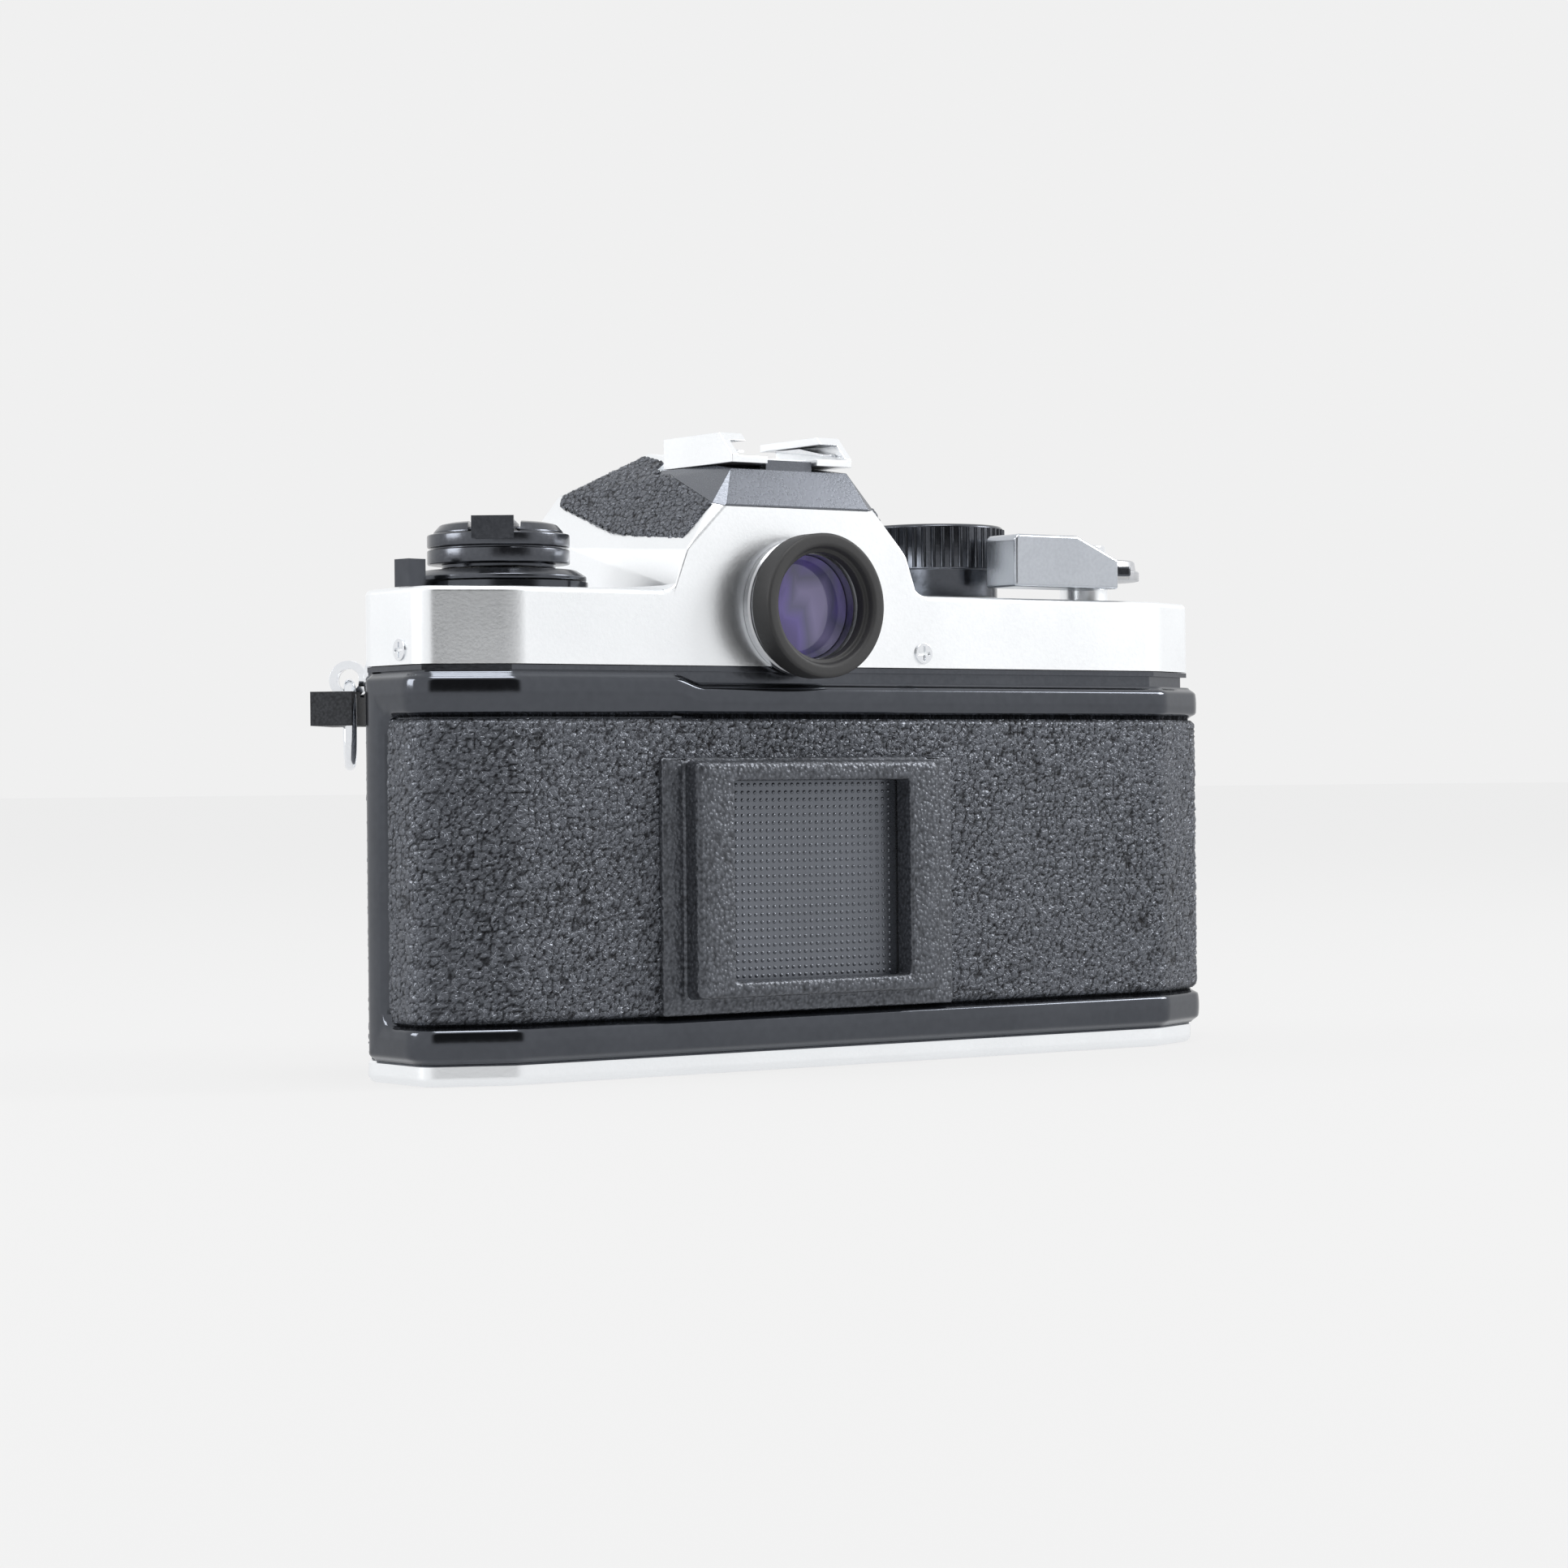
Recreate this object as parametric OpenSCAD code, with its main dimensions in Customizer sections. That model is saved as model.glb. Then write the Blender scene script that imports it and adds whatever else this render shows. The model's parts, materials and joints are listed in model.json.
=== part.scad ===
// Body of a 35 mm single-lens reflex camera, millimetres.
// The origin is the mouth of the tripod socket in the base, under the lens axis. +Z is up, the lens faces -Y,
// the back door is on +Y, and +X is the rewind-knob end.

/* [Body] */
// End face on the rewind side, from the lens axis
end_left = 59.3; // [58.5:0.1:60]
// End face on the winding side, from the lens axis
end_right = 78.4; // [78:0.1:79.5]
// Rear plane of the covers
rear_y = 16; // [15.8:0.1:16.4]
// Front plane of the body
front_y = -15.5; // [-16.5:0.1:-15.2]
// Height of the base plate
base_h = 3; // [2.6:0.1:3]
// Underside of the top cover
cover_z = 56.9; // [56.8:0.1:57.4]
// Top of the cover deck
deck_z = 67.4; // [67:0.1:67.4]

/* [Optics] */
// Height of the lens axis
axis_z = 32.5; // [32:0.1:33]
// Front face of the lens flange
flange_y = -36.2; // [-37:0.1:-36]
// Radius of the lens throat
throat_r = 22; // [21.5:0.1:22.4]
// Width of the picture
gate_w = 36; // [35:0.5:36]
// Height of the picture
gate_h = 24; // [23:0.5:24]
// Height of the eyepiece centre
eye_z = 65.3; // [65:0.1:65.6]

/* [Door] */
// How far the door rails stand outside the cover outline
rail_out = 1.5; // [1.3:0.1:1.6]
// Top of the door on the winding side
door_top = 54.5; // [54:0.1:54.6]
// Top of the door on the rewind side
door_step_top = 55.8; // [55.2:0.1:55.9]

/* [Controls] */
// Radius of the rewind knob
knob_r = 9.9; // [9.5:0.1:10]
// Radius of the shutter speed dial
dial_r = 11; // [10:0.1:11]
// Number of flutes round the shutter speed dial
dial_flutes = 48; // [36:4:60]

/* [Hidden] */

big = 300;
fine = 96;
mid_x = (end_left - end_right) / 2;

facet_dx = 11.5;
facet_dy = 5.2;
front_facet_y = -4.2;
front_facet_dx = 10.3;
outline = [
    [end_left, front_facet_y], [end_left, rear_y - facet_dy], [end_left - facet_dx, rear_y],
    [-end_right + facet_dx, rear_y], [-end_right, rear_y - facet_dy], [-end_right, front_facet_y],
    [-end_right + front_facet_dx, front_y], [end_left - front_facet_dx, front_y]];

skin_t = 0.6;
casting_z = [base_h + 0.1, cover_z - 0.1];
door_z0 = base_h + 0.1;
door_front_y = -2.2;
leather_z = [8.1, 49.9];
leather_y0 = 3;
leather_seat = 0.4;
leather_out = 1.1;
pan_in = 0.3;
step_x = [17.5, 22.7];
hinge = [-78.3, -3.9];
hinge_pin_r = 0.8;
hinge_bore_r = 0.85;
knuckle_r = 1.5;
knuckles_door = [[4.5, 20], [36, 52]];
knuckle_body = [20.3, 35.7];

knob_at = [40, 0];
dial_at = [-40.5, -5];
wind_at = [-67.5, -1.5];
counter_at = [-58, -11.3];
counter_disc_at = [-60, -8];
sprocket_at = [-27.5, 5.8];
release_at = [-27.5, 5.8];
battery_at = [24, -2];
coupling_at = [-56, -6];
preview_at = [-28, 51];
timer_at = [-37, 43];
cassette_r = 13.2;
cassette_at = [41, 0.2];
chamber_z = [6.5, 50.5];
spool_r = 7;

box_half = 20.2;
box_z = [12.5, 54];
box_y = [-31, 4.2];
mirror_hinge = [1.2, 50.4];
mirror_len = 29.5;
mirror_t = 1.4;
blade_h = 8.8;

lug_n = -42;
lug_at = [56.9, -12.3, 55.3];
ring_r = 5.6;
ring_wire = 0.8;
ring_turn = 14;
ring_drop = 0.55;

hump_points = [
    [21.5, rear_y, deck_z - 2], [21.5, rear_y, deck_z], [19.3, rear_y, 73], [12.4, rear_y, 79.6],
    [11.95, 15.4, 79.9], [10.15, 13.9, 84.8], [10, 1.2, 84.9], [8, -10, 88.7], [16.4, -21.5, 82.7],
    [18.5, -23.4, 79], [19.5, -23.4, deck_z - 2], [20.7, -11.4, 74.6], [20.9, -23.4, deck_z - 2]];
shoe_half = 10.5;
shoe_y = [-2.4, 14.7];
shoe_z = [85.6, 90];
base_screw_at = [[50, -6], [-68, -8], [50, 10], [-68, 10]];

memo_x = [-21.3, 21.3];
memo_z = [10.6, 43.6];
memo_window_x = [-15.8, 14.8];
memo_window_z = [12.9, 40.8];
memo_back_y = rear_y + leather_seat + 0.05;

crank_dir = 54;
tip_x = [-60, -40];
tip_y = [8.4, 15.6];

// Height of the plane that parts the prism cap from the cover, at depth y
function cap_split(y) = 84.6 - 0.361 * (y - 1.2);

// The interval of half-width h round c
function span(c, h) = [c - h, c + h];

function unit(v) = v / norm(v);
function turn90(v) = [-v[1], v[0]];
// A convex outline, counter-clockwise, moved inwards by d (outwards when d is negative)
function inset(p, d) = [for (i = [0:len(p) - 1])
    let (n1 = turn90(unit(p[i] - p[(i + len(p) - 1) % len(p)])),
         n2 = turn90(unit(p[(i + 1) % len(p)] - p[i])))
    p[i] + d * (n1 + n2) / (1 + n1 * n2)];

module slab(z, d = 0) {
    translate([0, 0, z[0]]) linear_extrude(z[1] - z[0]) polygon(inset(outline, d));
}

module block(x, y, z) {
    translate([x[0], y[0], z[0]]) cube([x[1] - x[0], y[1] - y[0], z[1] - z[0]]);
}

module post(at, r, z) {
    translate([at[0], at[1], z[0]]) cylinder(r = r, h = z[1] - z[0], $fn = fine);
}

// A cylinder along Y between two depths
module along_y(x, z, r, y) {
    translate([x, y[0], z]) rotate([-90, 0, 0]) cylinder(r = r, h = y[1] - y[0], $fn = fine);
}

// A side profile in Y and Z, extruded to both sides of the lens axis
module side_profile(points, half) {
    translate([-half, 0, 0]) rotate([90, 0, 90]) linear_extrude(2 * half) polygon(points);
}

module knuckle(z, r) {
    post(hinge, r, z);
}

module body_casting() {
    color([0.08, 0.08, 0.085]) difference() {
        union() {
            intersection() {
                slab(casting_z, skin_t);
                block([-end_right + 0.6, end_left - 0.6], [front_y, door_front_y - 0.6], casting_z);
            }
            intersection() {
                slab([casting_z[0], cover_z - 0.9], 1.3);
                block([-end_right, end_left], [door_front_y - 2, rear_y], casting_z);
            }
            slab([cover_z - 0.8, cover_z - 0.1], 0.5);
            intersection() {
                slab([cover_z - 1, cover_z - 0.7], 1.3);
                block([-end_right, end_left], [front_y, rear_y], casting_z);
            }
            knuckle(knuckle_body, knuckle_r);
            block([hinge[0], hinge[0] + 2.5], [hinge[1] - 1.2, hinge[1] + 1.2], knuckle_body);
        }
        for (z = concat(knuckles_door, [[door_z0, 4.5], [52, door_step_top + 0.2]]))
            knuckle([z[0] - 0.31, z[1] + 0.31], knuckle_r + 0.4);
        knuckle(casting_z + [-1, 1], hinge_bore_r);
        // cassette chamber, open to the rear
        post(cassette_at, cassette_r, chamber_z);
        block(span(cassette_at[0], cassette_r), [cassette_at[1], big], chamber_z);
        // take-up chamber, open to the rear
        post(wind_at, 8.6, chamber_z);
        block([wind_at[0] - 8.6, -20.9], [wind_at[1], big], chamber_z);
        // shutter and film gate pocket
        block([-30, 28], [4.4, big], [8.2, chamber_z[1]]);
        // passage of the mirror box, open upwards for the prism
        block([-box_half - 0.2, box_half + 0.2], [-big, 4.5], [box_z[0] - 0.2, big]);
        block(span(0, box_half + 0.2), [-big, 10.6], [54.2, big]);
        // room for the door catch
        block([56.2, 60], [-2, big], [28, 38]);
        // rear rim under the door
        block([-75, 56.5], [10.4, big], [8.2, leather_z[1]]);
        // shafts
        post(knob_at, 3, [chamber_z[1] - 1, big]);
        post(wind_at, 1.6, [0, big]);
        post(sprocket_at, 1.6, [chamber_z[1] - 1, big]);
        post(release_at, 2.5, [0, chamber_z[0] + 1]);
        post(coupling_at, 4.1, [0, 6]);
        post([0, 0], 6.55, [0, 8.2]);
        post(battery_at, 8.6, [0, 5]);
        along_y(timer_at[0], timer_at[1], 1.6, [-20, -12]);
    }
}

module front_leather() {
    color([0.13, 0.13, 0.14]) difference() {
        intersection() {
            difference() {
                slab([casting_z[0] + 0.2, casting_z[1] - 0.9], 0);
                slab([0, big], skin_t);
            }
            block([-big, big], [-big, -2.9], [0, big]);
        }
        block([-31.3, 39.3], [-big, 0], [0, big]);
        knuckle([0, big], knuckle_r + 0.5);
        along_y(timer_at[0], timer_at[1], 1.7, [-20, 0]);
        lug_frames() translate([-6, 0, 0]) rotate([0, 90, 0]) cylinder(r = 2.5, h = 8, $fn = fine);
    }
}

module front_standard() {
    color([0.72, 0.73, 0.75]) difference() {
        union() {
            block([-31, 31], [-24, front_y + skin_t - 0.15], [casting_z[0] + 0.2, casting_z[1]]);
            block([30, 39], [-19.5, front_y + skin_t - 0.15], [casting_z[0] + 0.2, casting_z[1]]);
            along_y(0, axis_z, 29.4, [flange_y + 3, -23.8]);
            along_y(34.3, 27, 4.6, [-22, -19]);
        }
        block([-box_half - 0.2, box_half + 0.2], [box_y[0] - 0.2, 0], [box_z[0] - 0.2, box_z[1] + 0.3]);
        block([-box_half - 0.2, box_half + 0.2], [-23, 0], [box_z[1], big]);
        along_y(0, axis_z, throat_r + 0.6, [flange_y, 0]);
        along_y(34.3, 27, 3.3, [-23, -17]);
        along_y(35, 45, 3.2, [-20, -17]);
        along_y(preview_at[0], preview_at[1], 1.6, [-25, -20]);
    }
}

module mirror_box() {
    color([0.1, 0.1, 0.1]) difference() {
        block([-box_half, box_half], box_y, box_z);
        block([-18.6, 18.6], [-big, 2.6], [14.5, 52.2]);
        block([-18.6, 18.6], [-24.5, 1.6], [50, big]);
        block(span(0, gate_w / 2), [0, big], span(axis_z, gate_h / 2));
    }
}

module focusing_screen() {
    color([0.85, 0.9, 0.95]) block([-18.4, 18.4], [-24.3, 1.4], [52.4, 53.8]);
}

module pentaprism() {
    color([0.75, 0.85, 0.95, 0.5]) hull() {
        block([-13.5, 13.5], [-16, 7], [54.4, 60]);
        block([-12, 12], [5, 10], [58, 72]);
        block([-5, 5], [-9, 4], [60, 79.5]);
        block([-12, 12], [-15.5, -10], [60, 73]);
    }
}

module reflex_mirror() {
    color([0.8, 0.82, 0.85]) translate([0, mirror_hinge[0], mirror_hinge[1]]) rotate([45, 0, 0])
        block([-17.9, 17.9], [-mirror_len, 0], [-mirror_t, 0]);
}

module shutter_frame() {
    color([0.2, 0.2, 0.21]) difference() {
        block([-21.3, 27], [4.7, 8], [8.6, 50]);
        block(span(0, gate_w / 2 + 0.5), [4, 9], span(axis_z, gate_h / 2 + 0.5));
        block(span(0, gate_w / 2 + 1.5), [5.4, 7.4], [9.6, 46]);
    }
}

// Blades of the first curtain: they cover the picture at rest and fold down below it
module shutter_blade(i) {
    color([0.25, 0.26, 0.28])
        translate([0, 5.55 + 0.6 * i, axis_z + gate_h / 2 + 0.6 - blade_h - 8.1 * i])
            block([-19.2, 19.2], [0, 0.3], [0, blade_h]);
}

module shutter_blade_1() { shutter_blade(0); }
module shutter_blade_2() { shutter_blade(1); }
module shutter_blade_3() { shutter_blade(2); }

module film_gate() {
    color([0.15, 0.15, 0.16]) difference() {
        union() {
            block([-20.5, 27.5], [8.3, 9.8], [9, 50]);
            for (dz = [-17, -13.6, 12.8, 16.2])
                block([-20.5, 27.5], [9.7, 10.3], [axis_z + dz, axis_z + dz + 0.8]);
        }
        block(span(0, gate_w / 2), [8, 11], span(axis_z, gate_h / 2));
    }
}

module ring_sector(r_in, r_out, from, angle, y) {
    translate([0, y[1], axis_z]) rotate([90, 0, 0]) rotate([0, 0, from])
        rotate_extrude(angle = angle, $fn = fine) translate([r_in, 0]) square([r_out - r_in, y[1] - y[0]]);
}

module lens_mount_ring() {
    color([0.8, 0.8, 0.82]) difference() {
        along_y(0, axis_z, 29, [flange_y, flange_y + 2.9]);
        along_y(0, axis_z, throat_r, [flange_y - 1, flange_y + 4]);
        for (a = [20, 140, 260])
            ring_sector(throat_r - 1, throat_r + 1.6, a, 26, [flange_y - 1, flange_y + 4]);
        for (a = [0:72:359]) translate([0, 0, axis_z]) rotate([0, a, 0])
            along_y(0, 26.3, 1.4, [flange_y - 1, flange_y + 1.4]);
    }
}

module mount_screws() {
    color([0.75, 0.75, 0.77]) for (a = [0:72:359]) translate([0, 0, axis_z]) rotate([0, a, 0])
        difference() {
            along_y(0, 26.3, 1.35, [flange_y + 0.2, flange_y + 1.4]);
            block([-1.1, 1.1], [flange_y, flange_y + 0.6], [26.1, 26.5]);
            block([-0.2, 0.2], [flange_y, flange_y + 0.6], [25.2, 27.4]);
        }
}

module lens_release_button() {
    color([0.8, 0.8, 0.82]) along_y(34.3, 27, 3.24, [-25, -20]);
}

module depth_preview_lever() {
    color([0.75, 0.75, 0.77]) union() {
        along_y(preview_at[0], preview_at[1], 2.7, [-25.6, -24.3]);
        along_y(preview_at[0], preview_at[1], 1.54, [-24.4, -20.4]);
        block([preview_at[0] - 9, preview_at[0]], [-25.6, -24.3], span(preview_at[1], 1.4));
    }
}

module self_timer_lever() {
    color([0.1, 0.1, 0.1]) union() {
        along_y(timer_at[0], timer_at[1], 1.54, [front_y - 0.3, -12.2]);
        along_y(timer_at[0], timer_at[1], 3.4, [front_y - 2.6, front_y - 0.25]);
        block(span(timer_at[0], 2.6), [front_y - 2.6, front_y - 0.9], [timer_at[1] - 19, timer_at[1]]);
    }
}

module sync_socket() {
    color([0.7, 0.7, 0.72]) difference() {
        union() {
            along_y(35, 45, 3.1, [-20.8, -17.2]);
            along_y(35, 45, 3.9, [-20.8, -19.6]);
        }
        along_y(35, 45, 1.5, [-21, -18]);
    }
}

// Outer body of the roof over the prism; shrink moves its faces inwards by about that much
module hump(shrink = 0) {
    k = [for (s = [1, -1]) for (p = hump_points) [s * (p[0] - shrink), p[1] - sign(p[1] + 4) * shrink,
        p[2] - (p[2] > deck_z ? shrink : 0)]];
    hull() for (p = k) translate(p) cube(0.02, center = true);
}

// Everything above the sloping plane that parts the cap from the cover
module above_split() {
    side_profile([[1.2, cap_split(1.2)], [rear_y + 4, cap_split(rear_y + 4)], [rear_y + 4, 100],
        [-2.2, 100], [-2.2, cap_split(1.2)]], 40);
}

module shoe_seat() {
    block([-40, 40], [-3.4, rear_y + 4], [85.5, 100]);
}

module top_cover() {
    color([0.86, 0.87, 0.88]) difference() {
        union() {
            difference() {
                slab([cover_z, deck_z], 0);
                slab([cover_z - 1, deck_z - 1.3], 1.2);
            }
            difference() {
                block([-20.9, 20.9], [-23.4, front_y + 1], [cover_z, deck_z]);
                block([-19.5, 19.5], [-22, front_y + 4], [cover_z - 1, deck_z]);
            }
            difference() {
                hump();
                hump(1.4);
            }
            post(knob_at, 3.7, [deck_z - 1, 70.2]);
            post(wind_at, 3.7, [deck_z - 1, 70.4]);
        }
        block([-19.3, 19.3], [-22, rear_y - 1.5], [cover_z - 1, deck_z + 0.5]);
        above_split();
        shoe_seat();
        post(knob_at, 2.6, [cover_z, 80]);
        post(dial_at, 3.05, [cover_z, 80]);
        post(wind_at, 2.55, [cover_z, 80]);
        post(counter_at, 3, [cover_z, 80]);
        along_y(0, eye_z, 8.3, [0, rear_y + 2]);
        along_y(-22.2, 59, 1.55, [rear_y - 0.9, rear_y + 1]);
        for (s = [-1, 1]) translate([mid_x + s * (end_left - mid_x), 5.7, 58.9]) rotate([0, s * 90, 0])
            translate([0, 0, -0.9]) cylinder(r = 1.55, h = 3, $fn = fine);
        leather_pads();
        // scoops that keep the strap lugs free
        lug_frames() translate([-6, 0, 0]) rotate([0, 90, 0]) cylinder(r = 1.6, h = 16, $fn = fine);
    }
}

module prism_cap() {
    color([0.16, 0.16, 0.17]) union() {
        difference() {
            intersection() {
                hump();
                translate([0, 0.05, 0.05]) above_split();
                block([-40, 40], [-1.9, 30], [60, 100]);
            }
            shoe_seat();
            side_profile([[-5, 60], [rear_y - 2.2, 60], [rear_y - 2.2, 83], [-5, 83]], 8.6);
        }
        block([-4, 4], [12.2, 13.8], [84.4, 86.2]);
    }
}

// Slanting side plane of the prism roof: x out to the side, y along the camera
module leather_pads() {
    for (s = [0, 1]) mirror([s, 0, 0]) intersection() {
        translate([10, 14.5, 81.1]) multmatrix([[1, 0, 0, 0], [0, 1, 0, 0], [-0.95, -0.2, 1, 0]])
            linear_extrude(6) polygon([[1.5, 1.2], [0.2, -12.5], [-1.4, -24], [6.2, -34.6], [8.6, -33],
                [9.4, -25.5], [7.9, -1]]);
        block([0, 40], [-22, rear_y - 1], [73.8, 100]);
    }
}

module prism_leather() {
    color([0.13, 0.13, 0.14]) difference() {
        intersection() {
            leather_pads();
            hump(0.02);
        }
        translate([0, -0.1, -0.1]) above_split();
        translate([0, -0.1, -0.1]) shoe_seat();
    }
}

module accessory_shoe() {
    color([0.8, 0.81, 0.82]) difference() {
        translate([0, shoe_y[1], 0]) rotate([90, 0, 0]) linear_extrude(shoe_y[1] - shoe_y[0]) polygon([
            [-shoe_half, shoe_z[0]], [shoe_half, shoe_z[0]], [shoe_half, shoe_z[1]], [6.6, shoe_z[1]],
            [6.6, shoe_z[1] - 1.1], [9.4, shoe_z[1] - 1.1], [9.4, shoe_z[0] + 1], [-9.4, shoe_z[0] + 1],
            [-9.4, shoe_z[1] - 1.1], [-6.6, shoe_z[1] - 1.1], [-6.6, shoe_z[1]], [-shoe_half, shoe_z[1]]]);
        side_profile([[shoe_y[1] - 3.2, shoe_z[1] + 0.1], [shoe_y[1] + 0.1, shoe_z[1] + 0.1],
            [shoe_y[1] + 0.1, shoe_z[0] + 1.1]], 12);
        block([-4.3, 4.3], [11.8, 16], [85, 87]);
        block([-4, 4], [1.6, 9.4], [85, 87]);
    }
}

module shoe_contact() {
    color([0.3, 0.3, 0.31]) union() {
        block([-3.9, 3.9], [1.7, 9.3], [85.55, 86.8]);
        post([0, 5.5], 1.3, [86.7, 87.2]);
    }
}

module eyepiece_barrel() {
    color([0.75, 0.75, 0.77]) difference() {
        union() {
            along_y(0, eye_z, 9.7, [rear_y + 0.05, rear_y + 1.2]);
            along_y(0, eye_z, 9.2, [rear_y + 1.1, rear_y + 4.6]);
            along_y(0, eye_z, 8.2, [10.5, rear_y + 0.2]);
        }
        along_y(0, eye_z, 7.4, [10, rear_y + 3]);
        along_y(0, eye_z, 8, [rear_y + 2.8, rear_y + 5]);
    }
}

module eyepiece_ring() {
    color([0.07, 0.07, 0.07]) difference() {
        along_y(0, eye_z, 10.2, [rear_y + 2.6, rear_y + 6.7]);
        difference() {
            along_y(0, eye_z, 9.25, [rear_y + 2, rear_y + 4.65]);
            along_y(0, eye_z, 7.95, [rear_y + 3.6, rear_y + 5]);
        }
        along_y(0, eye_z, 7.5, [rear_y + 3, rear_y + 8]);
        along_y(0, eye_z, 8.3, [rear_y + 5.4, rear_y + 8]);
    }
}

module eyepiece_lens() {
    color([0.4, 0.35, 0.6, 0.6]) along_y(0, eye_z, 7.35, [rear_y - 1, rear_y + 1.4]);
}

module cross_screw(r, h) {
    difference() {
        cylinder(r = r, h = h, $fn = fine);
        for (a = [0, 90]) rotate([0, 0, a]) block([-r * 0.7, r * 0.7], [-0.2, 0.2], [h - 0.4, h + 1]);
    }
}

module body_screws() {
    color([0.75, 0.75, 0.77]) union() {
        translate([-22.2, rear_y - 0.85, 59]) rotate([-90, 0, 0]) cross_screw(1.5, 1.1);
        for (s = [-1, 1]) translate([mid_x + s * (end_left - mid_x - 0.85), 5.7, 58.9]) rotate([0, s * 90, 0])
            cross_screw(1.5, 1.1);
        for (at = base_screw_at) translate([at[0], at[1], 1.15]) mirror([0, 0, 1]) cross_screw(1.7, 1.05);
    }
}

module base_plate() {
    color([0.86, 0.87, 0.88]) difference() {
        slab([0, base_h], 0);
        slab([1.2, base_h + 1], 1.2);
        post([0, 0], 6.55, [-1, 2]);
        post(battery_at, 9.4, [-1, 2]);
        post(release_at, 2.5, [-1, 2]);
        post(coupling_at, 4.1, [-1, 2]);
        for (at = base_screw_at) post(at, 1.75, [-1, 2]);
    }
}

module tripod_bush() {
    color([0.7, 0.7, 0.72]) difference() {
        post([0, 0], 6.5, [0, 8]);
        post([0, 0], 3.175, [-1, 6]);
    }
}

module battery_cap() {
    color([0.75, 0.75, 0.77]) difference() {
        union() {
            post(battery_at, 9.3, [0.1, 1.6]);
            post(battery_at, 8.5, [1.5, 4.5]);
        }
        block(span(battery_at[0], 6.5), span(battery_at[1], 0.9), [-1, 0.9]);
    }
}

module rewind_release_button() {
    color([0.75, 0.75, 0.77]) post(release_at, 2.43, [0.2, 5]);
}

module motor_coupling() {
    color([0.6, 0.6, 0.62]) difference() {
        post(coupling_at, 4, [0.3, 5.6]);
        for (a = [0, 90]) translate(coupling_at) rotate([0, 0, a]) block([-3, 3], [-0.6, 0.6], [-1, 1.6]);
    }
}

module door_ring(z, outer, inner) {
    difference() {
        slab(z, -outer);
        slab([z[0] - 1, z[1] + 1], inner);
    }
}

module back_door() {
    color([0.06, 0.06, 0.065]) difference() {
        union() {
            intersection() {
                difference() {
                    union() {
                        door_ring([door_z0, door_top], rail_out, pan_in);
                        intersection() {
                            door_ring([door_top - 1, door_step_top], rail_out, pan_in);
                            translate([0, 30, 0]) rotate([90, 0, 0]) linear_extrude(60)
                                polygon([[step_x[0], door_top - 2], [step_x[1], door_step_top + 1], [70, 60],
                                    [70, door_top - 2]]);
                        }
                    }
                    difference() {
                        slab(leather_z, -rail_out - 1);
                        slab([0, big], -leather_seat);
                        block([-big, big], [-big, leather_y0], [0, big]);
                    }
                }
                block([-big, big], [door_front_y, big], [0, big]);
            }
            for (z = knuckles_door) {
                knuckle(z, knuckle_r);
                block([-79.8, -78.3], [hinge[1], door_front_y + 1], z);
            }
            block([57.3, end_left], [3, 6], [29, 37]);
        }
        knuckle([0, big], hinge_bore_r);
        along_y(0, eye_z, 10.5, [0, 40]);
    }
}

module door_leather() {
    color([0.13, 0.13, 0.14]) difference() {
        slab(leather_z + [0.15, -0.15], -leather_out);
        slab([0, big], -leather_seat - 0.02);
        block([-big, big], [-big, leather_y0 + 0.15], [0, big]);
        block([-25.8, 25.1], [0, big], [8, 44.2]);
    }
}

module memo_frame() {
    color([0.12, 0.12, 0.125]) difference() {
        union() {
            block([-25.7, 25], [memo_back_y, rear_y + 2], [8.4, 44.1]);
            block(memo_x, [memo_back_y, rear_y + 5], memo_z);
        }
        block(memo_window_x, [memo_back_y + 0.5, big], memo_window_z);
        block([memo_window_x[0] - 1.5, memo_window_x[1] + 1.5], [memo_back_y + 0.5, rear_y + 2],
            [memo_window_z[0] - 1, memo_window_z[1] + 1]);
    }
}

module memo_plate() {
    color([0.2, 0.2, 0.21]) block([memo_window_x[0] - 1.4, memo_window_x[1] + 1.4],
        [memo_back_y + 0.55, memo_back_y + 1.05], [memo_window_z[0] - 0.9, memo_window_z[1] + 0.9]);
}

module pressure_plate() {
    color([0.2, 0.2, 0.21]) block([-20.8, 26.5], [10.6, 11.8], [15.5, 49.5]);
}

module plate_spring() {
    color([0.7, 0.7, 0.7]) union() {
        block([-6, 6], [15.1, 15.65], [22, 42]);
        for (s = [-1, 1]) block([2 + s * 14 - 2, 2 + s * 14 + 2], [13.6, 14.1], [26, 38]);
        for (s = [-1, 1]) translate([s * 5.5 + 1, 15.2, 32]) rotate([0, 0, s > 0 ? -10 : 190])
            block([0, 9.5], [-0.25, 0.25], [-5, 5]);
    }
}

module hinge_pin() {
    color([0.7, 0.7, 0.7]) knuckle([4.2, 52.3], hinge_pin_r);
}

module light_seals() {
    color([0.05, 0.05, 0.05]) for (z = [[3.6, 5.4], [50.8, 52.6]])
        block([-66, 47], [14.75, 15.6], z);
}

// Sleeve that lifts with the shaft and lets go of the door catch
module shaft_collar() {
    color([0.7, 0.7, 0.72]) difference() {
        post(knob_at, 4.2, [57.3, 58.8]);
        post(knob_at, 2.56, [50, 60]);
    }
}

module rewind_shaft() {
    color([0.75, 0.75, 0.77]) union() {
        post(knob_at, 2.5, [46.5, 71]);
        block([knob_at[0] - 2.4, knob_at[0] + 2.4], [-0.7, 0.7], [42.5, 46.6]);
    }
}

module crank_frame() {
    translate([knob_at[0], knob_at[1], 76]) rotate([0, 0, crank_dir]) children();
}

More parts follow.
